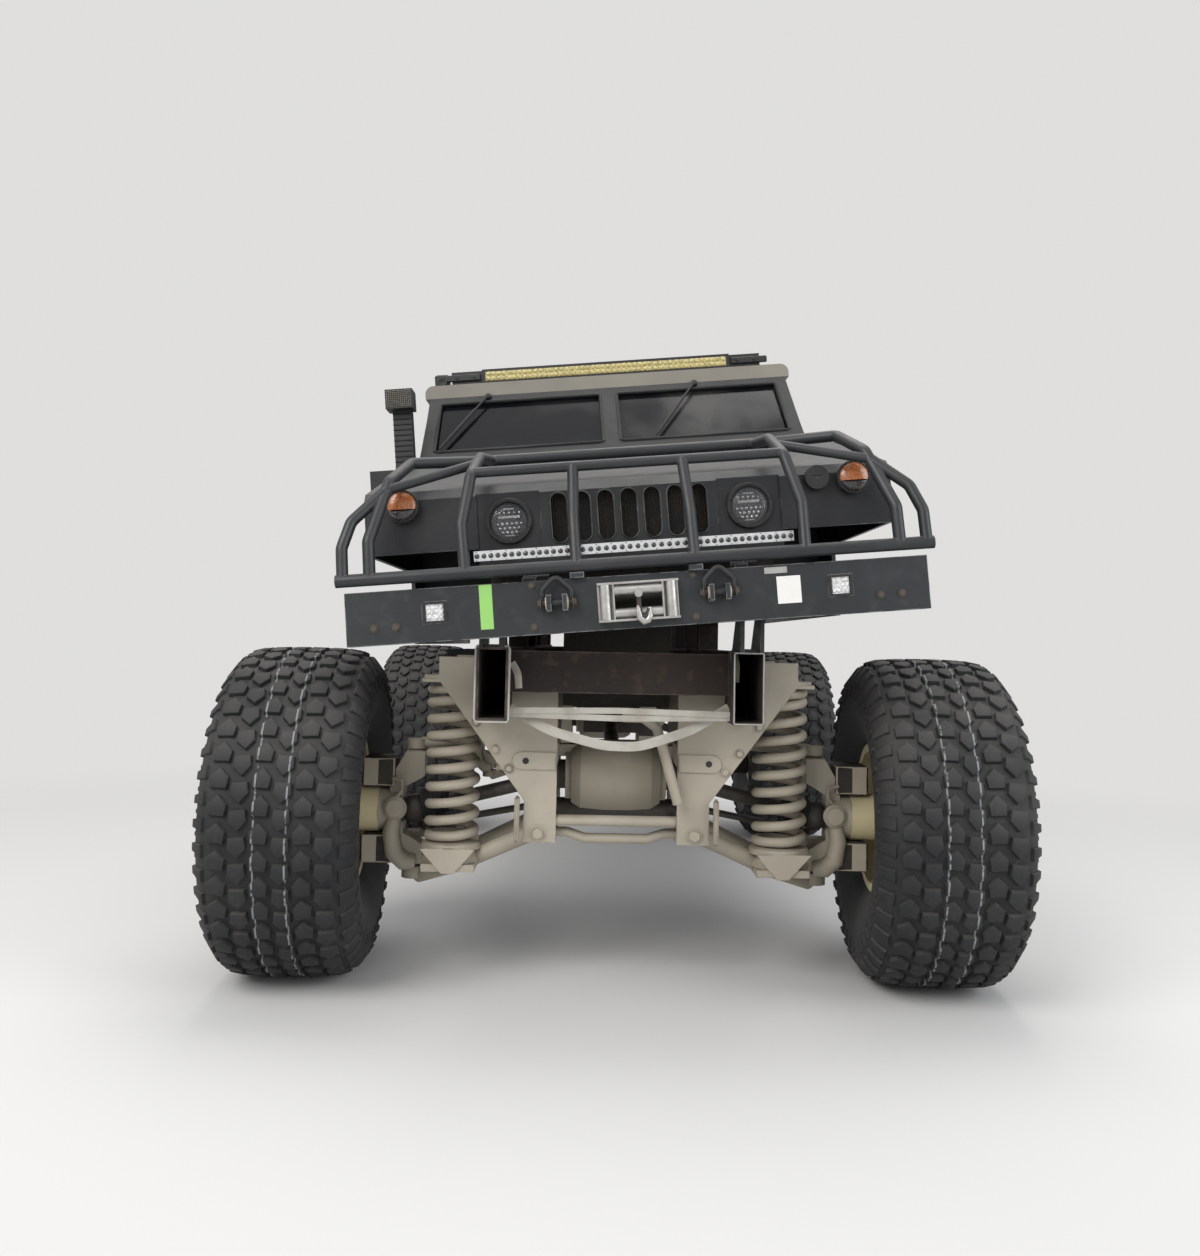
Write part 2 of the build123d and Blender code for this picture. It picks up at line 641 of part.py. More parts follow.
def make_tub():
    """The cab's panels, each a solid that meets its neighbours face to face."""
    y = axle_f
    t = sheet
    inner = body_half - t
    dash_y, rear_y, door_y = y + cowl_y, y + cab_rear, y + front_door[0] - gap
    pieces = [block(-inner, inner, dash_y + t, rear_y, floor_z - t, floor_z)]
    tunnel = block(-tunnel_half, tunnel_half, dash_y + t, rear_y - t, floor_z, tunnel_top)
    pieces.append(tunnel - block(-tunnel_half + t, tunnel_half - t, dash_y, rear_y, floor_z - 1, tunnel_top - t))
    pieces.append(block(-inner, inner, dash_y, dash_y + t, floor_z - t, deck_z - t))
    pieces.append(block(-inner, inner, dash_y, door_y, deck_z - t, deck_z))
    clear = body_half - door_t - gap
    pieces.append(block(-clear, clear, door_y, y + screen_y + 40, deck_z - t, deck_z))
    for side in (-1, 1):
        out, in_ = side * body_half, side * inner
        pieces.append(block(out, in_, y + 560, rear_y, sill_z, floor_z))
        pieces.append(block(out, in_, y + 560, dash_y, floor_z, hood_low - gap))
        pieces.append(block(out, in_, dash_y, door_y, floor_z, deck_z))
        pieces.append(wall(y + front_door[1] + gap, y + rear_door[0] - gap, pillar_t, floor_z, roof_low, side))
        pieces.append(wall(y + rear_door[1] + gap, rear_y, pillar_t, floor_z, roof_low, side))
        pieces.append(block(side * 560, side * 568, y - 380, dash_y, 1500, 1960))
    section = side_section(body_half, pillar_t, floor_z, roof_low)[3:]
    edge = section + [(-x, z) for x, z in reversed(section)]
    back = y_prism(edge, rear_y - t, rear_y)
    pieces.append(back - block(-620, 620, rear_y - t - 1, rear_y + 1, 2430, 2720))
    for seat_y in seat_rows:
        pieces += make_seat_bases(axle_f + seat_y)
    for side in (-1, 1):
        for span in (front_door, rear_door):
            pieces += [hinge_leaf(side, y + span[0], z, -1) for z in hinge_z]
    return pieces


def make_roof():
    y = axle_f
    outer = block(-roof_half, roof_half, y + screen_top_y - 20, y + cab_rear + 10, roof_low, roof_top)
    outer = fillet(outer.edges().filter_by(Axis.Y).group_by(Axis.Z)[-1], 45)
    inner = block(-roof_half + 50, roof_half - 50, y + screen_top_y + 30, y + cab_rear - 40, roof_low - 1, roof_top - sheet)
    return outer - inner


def screen_plane():
    """The windscreen frame's plane, its origin at the middle of the frame's bottom edge."""
    up = Vector(0, screen_top_y - screen_y, header_z - cowl_z)
    return Plane(origin=(0, axle_f + screen_y, cowl_z), x_dir=(1, 0, 0), z_dir=Vector(1, 0, 0).cross(up)), up.length


def screen_back(z):
    """Where a door clears the back of the windscreen frame, at height z."""
    slope = math.tan(screen_tilt)
    return axle_f + screen_y + (z - cowl_z) * slope + (screen_half_t + gap) / math.cos(screen_tilt)


def make_screen():
    plane, height = screen_plane()
    frame = Polyline((-1015, 0), (1015, 0), (975, height), (-975, height), close=True)
    body = extrude(plane * make_face(frame), screen_half_t, both=True)
    panes = []
    for side in (-1, 1):
        pane = Polyline((side * 45, 50), (side * 945, 50), (side * 915, height - 45), (side * 45, height - 45), close=True)
        hole = extrude(plane * make_face(pane), 30, both=True)
        body = body - hole
        panes.append(extrude(plane * make_face(pane), 3, both=True))
    back = axle_f + cab_rear - sheet
    panes.append(block(-620, 620, back + 6, back + 12, 2430, 2720))
    return body, panes


def make_door(span, side):
    y0, y1 = axle_f + span[0], axle_f + span[1]
    panel = wall(y0, y1, door_t, floor_z + gap, roof_low - gap, side)
    win = [(y0 + 70, 2420), (y1 - 70, 2420), (y1 - 70, 2740), (y0 + 70, 2740)]
    if span is front_door:
        win[0] = (y0 + 95, 2420)
        win[3] = (y0 + 275, 2740)
        low, high = deck_z - gap, roof_low + gap
        slant = x_prism([(y0 - 1, low), (screen_back(low), low), (screen_back(high), high), (y0 - 1, high)],
                        side * 900, side * 1100)
        panel = panel - slant
    window = x_prism(win, side * 900, side * 1100)
    thin = Pos(side * -18, 0, 0) * wall(y0, y1, 6, 2380, 2790, side)
    panel = panel - window
    handle = block(side * body_half, side * (body_half + 22), y1 - 170, y1 - 60, 2240, 2270)
    leaves = [hinge_leaf(side, y0, z, 1) for z in hinge_z]
    return fused([panel, handle] + leaves), [thin & window]


def hinge_leaf(side, y0, z, half):
    """One half of a door hinge: 1 is the door's upper half, -1 the pillar's lower half."""
    x, y = side * (body_half + hinge_r), y0 - gap / 2
    z0, z1 = (z + seat, z + 60) if half > 0 else (z - 60, z)
    barrel = rod((x, y, z0), (x, y, z1), hinge_r)
    reach = y + half * 45
    flap = block(side * body_half, x, min(y + half * 4, reach), max(y + half * 4, reach), z0, z1)
    return fused([barrel, flap])


def make_bed():
    y = axle_f
    t = sheet
    y0, y1 = y + bed_front, bed_end
    pieces = [block(-body_half + t, body_half - t, y0, y1, bed_floor - t, bed_floor)]
    for side in (-1, 1):
        wall_ = block(side * body_half, side * (body_half - t), y0, y1, sill_z, bed_top)
        arch = x_prism([(axle_r - 700, sill_z - 1), (axle_r - 560, 1790), (axle_r + 520, 1790),
                        (axle_r + 660, sill_z - 1)], side * (body_half + 5), side * (body_half - t - 5))
        pieces.append(wall_ - arch)
        pieces.append(block(side * (body_half - t), side * 900, y0, y1, bed_top - 40, bed_top))
        house = block(side * (body_half - t), side * 640, axle_r - 600, axle_r + 560, bed_floor, 1810)
        house = house - block(side * (body_half - t + 1), side * (640 + t), axle_r - 600 + t, axle_r + 560 - t,
                              bed_floor - t - 1, 1810 - t)
        pieces.append(house)
        pieces.append(block(side * (body_half - t), side * 870, y1 - 60, y1, sill_z + 40, bed_top))
    pieces.append(block(-body_half + t, body_half - t, y0, y0 + t, bed_floor, bed_top))
    bed = fused(pieces + [gate_hinge(x, -1) for x in gate_hinge_x])
    for side in (-1, 1):
        bed = bed - block(side * (body_half - t - 1), side * (640 + t), axle_r - 600 + t, axle_r + 560 - t,
                          bed_floor - t - 1, bed_floor + 1)
    return bed


def gate_hinge(x, half):
    """One half of a tailgate hinge at x: 1 is the gate's, -1 the bed's."""
    y, z = bed_end + 12, bed_floor
    x0, x1 = (x + seat, x + 60) if half > 0 else (x - 60, x)
    flap = block(x0, x1, bed_end, y, z, z + 30) if half > 0 else block(x0, x1, bed_end, y, z - 18, z)
    return rod((x0, y, z), (x1, y, z), hinge_r) + flap


def make_tailgate():
    y1 = bed_end
    gate = block(-870 + gap, 870 - gap, y1 - 30, y1 + 5, bed_floor + hinge_r + 4, bed_top - 5)
    ribs = [block(x - 40, x + 40, y1 + 5, y1 + 20, bed_floor + 40, bed_top - 60) for x in (-600, 0, 600)]
    return fused([gate] + ribs + [gate_hinge(x, 1) for x in gate_hinge_x])


def make_seats(y_front):
    out = []
    for x in (-640, 640):
        out.append(block(x - 250, x + 250, y_front, y_front + 480, 1700, 1840))
        out.append(x_prism([(y_front + 400, 1840 + seat), (y_front + 520, 1840 + seat), (y_front + 640, 2420), (y_front + 540, 2420)],
                           x - 250, x + 250))
    return out


def make_seat_bases(y_front):
    return [block(x - 220, x + 220, y_front + 20, y_front + 460, floor_z, 1700) for x in (-640, 640)]


def make_dash():
    y = axle_f
    dash = block(-960, 960, y + cowl_y + sheet, y + 1120, 2130, deck_z - sheet)
    column = rod((560, y + 1100, 2220), tuple(column_end), 28)
    return dash + column




def make_steering_wheel():
    centre = column_end + wheel_axis * (13 + seat)
    plane = Plane(origin=centre, z_dir=wheel_axis)
    section = Plane.XZ * Pos(200, 0) * RegularPolygon(15, 8)
    shapes = [revolve(section, Axis.Z, 360)]
    for a in (90, 210, 330):
        shapes.append(Rot(0, 0, a) * rod((20, 0, 0), (200, 0, 0), 9))
    shapes.append(Cylinder(38, 26))
    return plane * fused(shapes)


def make_roof_bar():
    y = axle_f + screen_top_y + 60
    bar = block(-690, 690, y, y + 80, 2905, 2985)
    feet = [block(s * 700, s * 860, y + 10, y + 60, roof_top, 2980) for s in (-1, 1)]
    feet += [block(s * 685, s * 710, y + 10, y + 60, 2915, 2980) for s in (-1, 1)]
    return [fused([bar] + feet)]


def make_snorkel():
    y = axle_f
    duct = block(-body_half - 95, -body_half, y + 865, y + 945, 2380, 2700)
    head = block(-body_half - 120, -body_half + 20, y + 800, y + 925, 2700, 2800)
    return [duct + head]


def make_mirrors():
    y = axle_f
    out = []
    for side in (-1, 1):
        foot = block(side * body_half, side * (body_half + 10), y + 890, y + 930, 2280, 2340)
        arm = rod((side * (body_half + 5), y + 910, 2310), (side * (body_half + 150), y + 880, 2310), 10)
        glass = block(side * (body_half + 110), side * (body_half + 230), y + 860, y + 880, 2220, 2390)
        out.append(fused([foot, arm, glass]))
    return out


def make_wipers():
    plane, height = screen_plane()
    out = []
    for side in (-1, 1):
        base = plane.from_local_coords(Vector(side * 560, 20, 0))
        tip = plane.from_local_coords(Vector(side * 330, height - 90, 0))
        lift = plane.z_dir * 34
        if lift.Y > 0:
            lift = lift * -1
        out.append(rod(tuple(base + lift), tuple(tip + lift), 6)
                   + rod(tuple(base + lift * (screen_half_t / 34)), tuple(base + lift * 1.1), 12))
    return out


def make_tail_lights():
    out = []
    for side in (-1, 1):
        out.append(block(side * 890, side * 1010, bed_end, bed_end + 30, 1900, 2020))
    return out


def make_body_mounts():
    """Packing blocks between the level rails and the leaning floor."""
    floor_plane = BODY * block(-2000, 2000, -4000, 4000, floor_z - sheet, floor_z + 2000)
    bed_plane = BODY * block(-2000, 2000, -4000, 4000, bed_floor - sheet, bed_floor + 2000)
    out = []
    for side in (-1, 1):
        x = side * rail_x
        for y in (axle_f + 980, axle_f + 1800, axle_f + 2600):
            out.append(block(x - 50, x + 50, y - 50, y + 50, rail_top, 1800) - floor_plane)
        for y in (axle_f + 2900, axle_r - 300, axle_r + 600):
            out.append(block(x - 50, x + 50, y - 50, y + 50, rail_top, 1900) - bed_plane)
    return out


def make_hitch():
    """A square receiver tube under the last crossmember."""
    y1 = axle_r + rail_rear
    middle = cross_top - cross_h - 38
    out = block(-38, 38, y1 - 160, y1 + 60, middle - 38, middle + 38)
    out = out - block(-32, 32, y1 - 161, y1 + 61, middle - 32, middle + 32)
    return out - rod((-40, y1 + 20, middle), (40, y1 + 20, middle), 8)


def make_straps():
    y = axle_f - 470
    x = rail_x - rail_w / 2
    straight = block(-x, x, y, y + 4, 1118, 1153)
    low = [(-x, 1135), (0, 1015), (x, 1150), (x, 1185), (0, 1050), (-x, 1170)]
    sag = y_prism(low, y + 30, y + 34)
    return [straight, sag]


def make_exhaust():
    """The exhaust from the engine's side, under the frame to the right-hand rear, with a silencer."""
    low = rail_top - rail_h - 52
    pipe = bent_tube([(225, axle_f + 700, 1300), (330, axle_f + 740, 1180), (330, axle_f + 1000, low),
                      (330, 300, low), (700, 560, low), (760, 1000, low)], 36, 70)
    silencer = rod((330, -100, low), (330, 240, low), 50)
    hanger = block(320, 340, -300, -280, low + 20, cross_top - cross_h)
    return fused([pipe, silencer, hanger])


def make_tank():
    return block(-900, -rail_x - rail_w / 2, -560, 420, 1060, 1360)


def main():
    os.makedirs("parts", exist_ok=True)
    save("frame", make_frame() + [make_hitch()])
    save("suspension_carriers", [fused([make_carrier(a, 1), make_carrier(a, -1)] + make_cross_tubes(a))
                                 for a in (axle_f, axle_r)])
    save("control_arms", [arm for a in (axle_f, axle_r) for s in (-1, 1) for arm in make_arms(a, s)]
         + [make_fixed_link(axle_r, s) for s in (-1, 1)])
    save("steering_rack", [make_rack(axle_f)])
    save("tie_rods", [make_steering_bar(axle_f)])
    save("coil_springs", [make_spring(a, s) for a in (axle_f, axle_r) for s in (-1, 1)])
    save("differentials", [make_diff(axle_f), make_diff(axle_r)])
    case, props = make_driveline()
    save("transfer_case", [case])
    save("drive_shafts", [make_half_shafts(a, s) for a in (axle_f, axle_r) for s in (-1, 1)] + props)
    save("rear_knuckles", [make_knuckle(s, axle_r) for s in (-1, 1)])
    names = {-1: "right", 1: "left"}
    for side in (-1, 1):
        save(f"front_knuckle_{names[side]}", [toed(make_knuckle(side, axle_f), side)])
    tyre, rim = make_tyre(), make_rim()
    for end, axle in (("front", axle_f), ("rear", axle_r)):
        for side in (-1, 1):
            place = wheel_place(side, axle)
            for kind, shape in (("tyre", tyre), ("rim", rim)):
                piece = place * shape
                if end == "front":
                    piece = toed(piece, side)
                save(f"{kind}_{end}_{names[side]}", [piece])
    save("tie_straps", make_straps())
    save("body_mounts", make_body_mounts())
    save("bumper_brackets", make_bumper_brackets())
    engine = make_engine()
    save("engine", [engine, BODY * make_radiator()])
    save("exhaust", [make_exhaust() - engine])
    save("fuel_tank", [make_tank()])
    save("hood", [make_hood()], BODY)
    save("headlights", make_headlights(), BODY)
    save("turn_signals", make_turn_signals(), BODY)
    guard = make_guard()
    save("brush_guard", [guard], BODY)
    save("light_strip", make_strip(guard), BODY)
    save("bumper", [make_bumper()], BODY)
    save("winch", [make_winch()], BODY)
    save("fairlead", [make_fairlead()], BODY)
    save("tow_shackles", make_shackles(), BODY)
    save("pod_lights", make_pods(), BODY)
    save("cab_tub", make_tub(), BODY)
    save("roof", [make_roof()], BODY)
    screen, panes = make_screen()
    save("windshield_frame", [screen], BODY)
    save("windshield_glass", panes, BODY)
    for end, span in (("front", front_door), ("rear", rear_door)):
        for side in (-1, 1):
            door, glass = make_door(span, side)
            save(f"door_{end}_{names[side]}", [door], BODY)
            save(f"door_glass_{end}_{names[side]}", glass, BODY)
    save("cargo_bed", [make_bed()], BODY)
    save("tailgate", [make_tailgate()], BODY)
    save("seats", [s for row in seat_rows for s in make_seats(axle_f + row)], BODY)
    save("dashboard", [make_dash()], BODY)
    save("steering_wheel", [make_steering_wheel()], BODY)
    save("roof_light_bar", make_roof_bar(), BODY)
    save("snorkel", make_snorkel(), BODY)
    save("mirrors", make_mirrors(), BODY)
    save("wipers", make_wipers(), BODY)
    save("tail_lights", make_tail_lights(), BODY)


main()
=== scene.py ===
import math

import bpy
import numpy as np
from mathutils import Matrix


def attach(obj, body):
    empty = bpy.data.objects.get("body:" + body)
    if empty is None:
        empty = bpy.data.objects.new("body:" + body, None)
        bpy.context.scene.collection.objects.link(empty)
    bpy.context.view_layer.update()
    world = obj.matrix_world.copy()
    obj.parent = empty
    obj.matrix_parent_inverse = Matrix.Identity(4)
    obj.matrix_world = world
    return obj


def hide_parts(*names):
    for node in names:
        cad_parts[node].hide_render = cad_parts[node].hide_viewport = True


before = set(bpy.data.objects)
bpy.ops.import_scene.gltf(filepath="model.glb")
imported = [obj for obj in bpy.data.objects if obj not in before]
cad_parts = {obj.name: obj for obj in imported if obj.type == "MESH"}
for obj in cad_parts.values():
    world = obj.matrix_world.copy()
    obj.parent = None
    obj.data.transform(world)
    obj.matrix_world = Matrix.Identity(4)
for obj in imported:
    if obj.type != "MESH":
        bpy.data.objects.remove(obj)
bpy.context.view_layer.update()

# %% [markdown]
# # A lifted off-road truck, dressed
#
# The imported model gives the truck's true sizes: a military style cab and cargo bed, leaned over on
# a rusty frame with four sand coloured suspension corners and very large tyres.
# This file adds what a camera sees beyond that: tread, coils, mesh, bolts, webbing and finishes.
# Everything is in metres, the ground is z = 0, the front faces -Y and +X is the driver's side.

scene = bpy.context.scene
scene.view_settings.view_transform = "Standard"

# %% [markdown]
# ## Sizes that the new pieces share with the solids
# A new piece has to land on the solid that carries it, so the few driving sizes are written once.
# The body leans by five degrees about a line above the frame; `lean` moves points that are easy to
# write for an upright body to where the leaning body really has them.

# %% Sizes and the lean
axle_y = {"front": -1.775, "rear": 1.775}
kingpin_x = 0.860
toe_in = math.radians(3.0)
half_track = 1.325
spring_x, spring_ahead = 0.682, 0.165
tyre_r = 0.686
body_lean = math.radians(5.0)
lean_pivot_z = 1.400
body_shift = 0.070
front_y = axle_y["front"]
side_names = {-1: "right", 1: "left"}


def lean(points):
    """Turn by the lean angle about the Y line at the pivot's height, then shift to +X."""
    p = np.array(points, float)
    c, s = math.cos(body_lean), math.sin(body_lean)
    up = p[..., 2] - lean_pivot_z
    return np.stack([p[..., 0] * c - up * s + body_shift, p[..., 1],
                     p[..., 0] * s + up * c + lean_pivot_z], axis=-1)


print("a body point at x 1 m lands at", lean([1.0, 0, 1.4]).round(3))

# %% [markdown]
# ## Turning arrays into pieces
# Blender's own primitives are quick, but each looks like a primitive.
# Here every surface is a grid of points worked out by a formula, and one helper joins the grid's
# neighbours into faces. `merge` collects several grids into one mesh, so that forty bolts are one
# object with one material.

# %% Grids to meshes
def grid_faces(rows, cols, wrap_rows=False, wrap_cols=False, start=0):
    """Quads between neighbours of a rows x cols grid: the four corners of cell (i, j)."""
    i = np.arange(rows if wrap_rows else rows - 1)[:, None]
    j = np.arange(cols if wrap_cols else cols - 1)[None, :]
    i2, j2 = (i + 1) % rows, (j + 1) % cols
    quads = np.stack([i * cols + j, i * cols + j2, i2 * cols + j2, i2 * cols + j], axis=-1)
    return quads.reshape(-1, 4) + start


def merge(parts):
    """Stack (points, faces) pairs into one pair, moving each part's face numbers along."""
    points, faces, start = [], [], 0
    for p, f in parts:
        points.append(np.reshape(p, (-1, 3)))
        faces += [np.asarray(block) + start for block in (f if isinstance(f, list) else [f])]
        start += len(points[-1])
    return np.concatenate(points), faces


def piece(name, parts, body, finish, smooth=True, stands_for=()):
    """One object from (points, faces) parts, riding on a body, with its finish."""
    points, faces = merge(parts)
    mesh = bpy.data.meshes.new(name)
    mesh.from_pydata(points.tolist(), [], [tuple(q) for block in faces for q in block.tolist()])
    mesh.validate()
    thing = bpy.data.objects.new(name, mesh)
    scene.collection.objects.link(thing)
    mesh.materials.append(finish)
    mesh.shade_flat()
    if smooth:
        mesh.shade_smooth()
        mesh.set_sharp_from_angle(angle=math.radians(38))
    if stands_for:
        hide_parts(*stands_for)
    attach(thing, body)
    print(f"{name}: {len(mesh.polygons)} faces on {body}")
    return thing


# %% [markdown]
# Most hardware is one of three forms: a profile turned about an axis, a tube along a path, or a
# block with eased edges. Each is a formula over two parameters, so each is one short function.

# %% Turned, piped and boxed forms
def axes_for(direction):
    """Two unit vectors square to a direction, by crossing it with the least aligned axis."""
    d = np.array(direction, float) / np.linalg.norm(direction)
    helper = np.eye(3)[np.argmin(np.abs(d))]
    u = np.cross(d, helper)
    u /= np.linalg.norm(u)
    return d, u, np.cross(d, u)


def turned(profile, centre, direction, sides=24):
    """A closed solid of revolution: (distance along, radius) points spun about an axis.
    point = centre + along * axis + radius * (cos a * u + sin a * v)."""
    d, u, v = axes_for(direction)
    prof = np.array(profile, float)
    a = np.linspace(0, 2 * np.pi, sides, endpoint=False)
    ring = np.cos(a)[None, :, None] * u + np.sin(a)[None, :, None] * v
    points = np.array(centre, float) + prof[:, None, :1] * d + prof[:, None, 1:] * ring
    faces = [grid_faces(len(prof), sides, wrap_cols=True)]
    if prof[0, 1] > 0:
        faces.append(np.arange(sides)[None, ::-1])
    if prof[-1, 1] > 0:
        faces.append(np.arange(sides)[None, :] + (len(prof) - 1) * sides)
    return points.reshape(-1, 3), faces


def piped(path, radius, sides=10, closed=False, flat=None):
    """A tube along a path: a ring of points, square to the path, at each path point.
    The ring's axes are carried along the path, so the tube doesn't twist."""
    path = np.array(path, float)
    run = np.roll(path, -1, 0) - np.roll(path, 1, 0) if closed else np.gradient(path, axis=0)
    run /= np.linalg.norm(run, axis=1)[:, None]
    frames = [axes_for(run[0])[1]]
    for t in run[1:]:
        u = frames[-1] - t * np.dot(frames[-1], t)
        frames.append(u / np.linalg.norm(u))
    u = np.array(frames)
    v = np.cross(run, u)
    a = np.linspace(0, 2 * np.pi, sides, endpoint=False)
    wide, thin = flat if flat else (1.0, 1.0)
    r = np.broadcast_to(np.asarray(radius, float), (len(path),))[:, None, None]
    ring = np.cos(a)[None, :, None] * u[:, None] * wide + np.sin(a)[None, :, None] * v[:, None] * thin
    points = path[:, None] + r * ring
    faces = [grid_faces(len(path), sides, wrap_rows=closed, wrap_cols=True)]
    if not closed:
        faces += [np.arange(sides)[None, ::-1], np.arange(sides)[None, :] + (len(path) - 1) * sides]
    return points.reshape(-1, 3), faces


def boxed(low, high, ease=0.004):
    """A box with eased edges: four level outlines, the lowest and highest drawn in.
    Each level is the rectangle's corners, cut back by the ease, as an octagon."""
    lo, hi = np.minimum(low, high).astype(float), np.maximum(low, high).astype(float)
    e = min(ease, 0.45 * float((hi - lo).min()))
    levels = []
    for z, inset in ((lo[2], e), (lo[2] + e, 0), (hi[2] - e, 0), (hi[2], e)):
        x0, x1, y0, y1 = lo[0] + inset, hi[0] - inset, lo[1] + inset, hi[1] - inset
        levels.append([(x0 + e, y0, z), (x1 - e, y0, z), (x1, y0 + e, z), (x1, y1 - e, z),
                       (x1 - e, y1, z), (x0 + e, y1, z), (x0, y1 - e, z), (x0, y0 + e, z)])
    points = np.array(levels)
    faces = [grid_faces(4, 8, wrap_cols=True),
             np.arange(8)[None, ::-1], np.arange(8)[None, :] + 24]
    return points.reshape(-1, 3), faces


def leaned(part):
    """The same part, moved with the leaning body."""
    return lean(part[0]), part[1]


def mirrored_part(part):
    """The part's mirror image across x = 0, with each face's corners in reverse order."""
    points, faces = part
    points = np.array(points) * (-1, 1, 1)
    return points, [np.asarray(block)[:, ::-1] for block in (faces if isinstance(faces, list) else [faces])]


def both(parts):
    """Parts and their mirror images."""
    return list(parts) + [mirrored_part(p) for p in parts]


def hex_bolt(centre, direction, across=0.03, tall=0.012):
    """A bolt head on a washer: a six-sided turned form over a round one."""
    r = across / 2
    washer = turned([(0, r * 1.35), (tall * 0.25, r * 1.35)], centre, direction, 12)
    head = turned([(tall * 0.2, r), (tall * 0.85, r), (tall, r * 0.86)], centre, direction, 6)
    return [washer, head]


def rivet(centre, direction, r=0.009):
    """A domed rivet: a quarter circle turned about its axis."""
    a = np.linspace(0, np.pi / 2, 4)
    profile = [(0.6 * r * math.sin(t), max(r * math.cos(t), 1e-4)) for t in a]
    return turned(profile, centre, direction, 8)


print("helpers ready")

# %% [markdown]
# ## Finishes as expressions
# A finish is a node tree, and wiring it by hand hides the idea. The small class below wraps a
# socket so that `1 - mask` or `dust * 0.4 + grain` adds the Math nodes by itself.
# Colours never pass through Math nodes, which would turn them grey: they are mixed.

# %% A class for shader sums
class Value:
    """A socket to reckon with: each operation adds one Math node to its finish."""

    def __init__(self, finish, socket):
        self.finish, self.socket = finish, socket

    def sum_of(self, operation, *values):
        return self.finish.node("ShaderNodeMath", {"operation": operation}, values)

    def __add__(self, other):
        return self.sum_of("ADD", self, other)

    def __sub__(self, other):
        return self.sum_of("SUBTRACT", self, other)

    def __rsub__(self, other):
        return self.sum_of("SUBTRACT", other, self)

    def __mul__(self, other):
        return self.sum_of("MULTIPLY", self, other)

    __radd__, __rmul__ = __add__, __mul__

    def between(self, low, high):
        """0 below low, 1 above high, smooth in between; low above high turns it round."""
        return self.finish.node("ShaderNodeMapRange", {"interpolation_type": "SMOOTHSTEP"},
                                {"Value": self, "From Min": low, "From Max": high})


class Finish:
    """A material with the few patterns this truck needs."""

    def __init__(self, name, **constants):
        self.material = bpy.data.materials.new(name)
        self.material.use_nodes = True
        self.tree = self.material.node_tree
        self.shader = self.tree.nodes["Principled BSDF"]
        for socket, value in constants.items():
            self.plug(value, self.shader.inputs[socket.replace("_", " ")])

    def plug(self, value, socket):
        if isinstance(value, Value):
            self.tree.links.new(value.socket, socket)
        elif socket.type == "RGBA" and len(value) == 3:
            socket.default_value = (*value, 1.0)
        else:
            socket.default_value = value

    def node(self, kind, settings=(), inputs=(), out=0):
        """Any node: its settings first, then the values or links of its sockets."""
        made = self.tree.nodes.new(kind)
        for key, value in dict(settings).items():
            setattr(made, key, value)
        for key, value in inputs.items() if isinstance(inputs, dict) else enumerate(inputs):
            self.plug(value, made.inputs[key])
        return Value(self, made.outputs[out])

    def noise(self, size, detail=4.0, stretch=(1, 1, 1)):
        """Cloudy noise whose lumps are about `size` metres, in object coordinates."""
        where = self.node("ShaderNodeTexCoord", out="Object")
        if stretch != (1, 1, 1):
            where = self.node("ShaderNodeMapping", {}, {"Vector": where, "Scale": stretch})
        return self.node("ShaderNodeTexNoise", {}, {"Vector": where, "Scale": 0.5 / size, "Detail": detail})

    def cells(self, size):
        """Distance to the nearest of scattered points, `size` metres apart."""
        where = self.node("ShaderNodeTexCoord", out="Object")
        return self.node("ShaderNodeTexVoronoi", {"feature": "F1"}, {"Vector": where, "Scale": 1 / size})

    def facing_up(self):
        """How far the surface faces the sky, where dust settles."""
        normal = self.node("ShaderNodeNewGeometry", out="Normal")
        return self.node("ShaderNodeSeparateXYZ", {}, [normal], out="Z")

    def edges(self, reach):
        """Where a surface turns sharply within `reach` metres: a softened normal set against the real one."""
        soft = self.node("ShaderNodeBevel", {"samples": 4}, {"Radius": reach})
        hard = self.node("ShaderNodeNewGeometry", out="Normal")
        same = self.node("ShaderNodeVectorMath", {"operation": "DOT_PRODUCT"}, [soft, hard], out="Value")
        return (1 - same).between(0.01, 0.10)

    def mix(self, share, first, second):
        """A colour between two, by a share from 0 to 1."""
        return self.node("ShaderNodeMix", {"data_type": "RGBA"}, {0: share, 6: first, 7: second}, out=2)

    def finish(self, colour=None, roughness=None, height=None, depth=0.001, metal=None):
        """Join colour, roughness and bump to the shader."""
        for value, socket in ((colour, "Base Color"), (roughness, "Roughness"), (metal, "Metallic")):
            if value is not None:
                self.plug(value, self.shader.inputs[socket])
        if height is not None:
            bump = self.node("ShaderNodeBump", {}, {"Height": height, "Distance": depth, "Strength": 0.7})
            self.plug(bump, self.shader.inputs["Normal"])
        return self.material


# %% [markdown]
# ## The paints
# The body is a satin black that has faded and gathered dust, the suspension is sand paint with
# chips and grease, and the frame is old rust. Each is a base colour, a slow drift of that colour,
# dust where the surface faces up, and bare edges.

# %% Paint recipes
def painted(name, colour, drift, dust, bare, dusty=0.5, worn=0.5, rough=0.45, grain=0.004):
    """A painted finish: base and drifted colour, dust that settles upwards, and rubbed edges."""
    f = Finish(name)
    slow, fine = f.noise(0.35), f.noise(0.03, 6.0)
    paint = f.mix(slow.between(0.35, 0.65), colour, drift)
    settled = f.facing_up().between(0.1, 0.95) * f.noise(0.12).between(0.25, 0.75) * dusty
    paint = f.mix(settled + fine.between(0.5, 0.8) * (0.22 * dusty), paint, dust)
    if worn:
        rubbed = f.edges(0.006) * fine.between(0.56 - 0.18 * worn, 0.66 - 0.12 * worn)
        paint = f.mix(rubbed * 0.85, paint, bare)
    roughness = f.noise(0.05) * 0.25 + settled * 0.3 + (rough - 0.1)
    return f.finish(paint, roughness, f.noise(grain, 3.0), 0.0006)


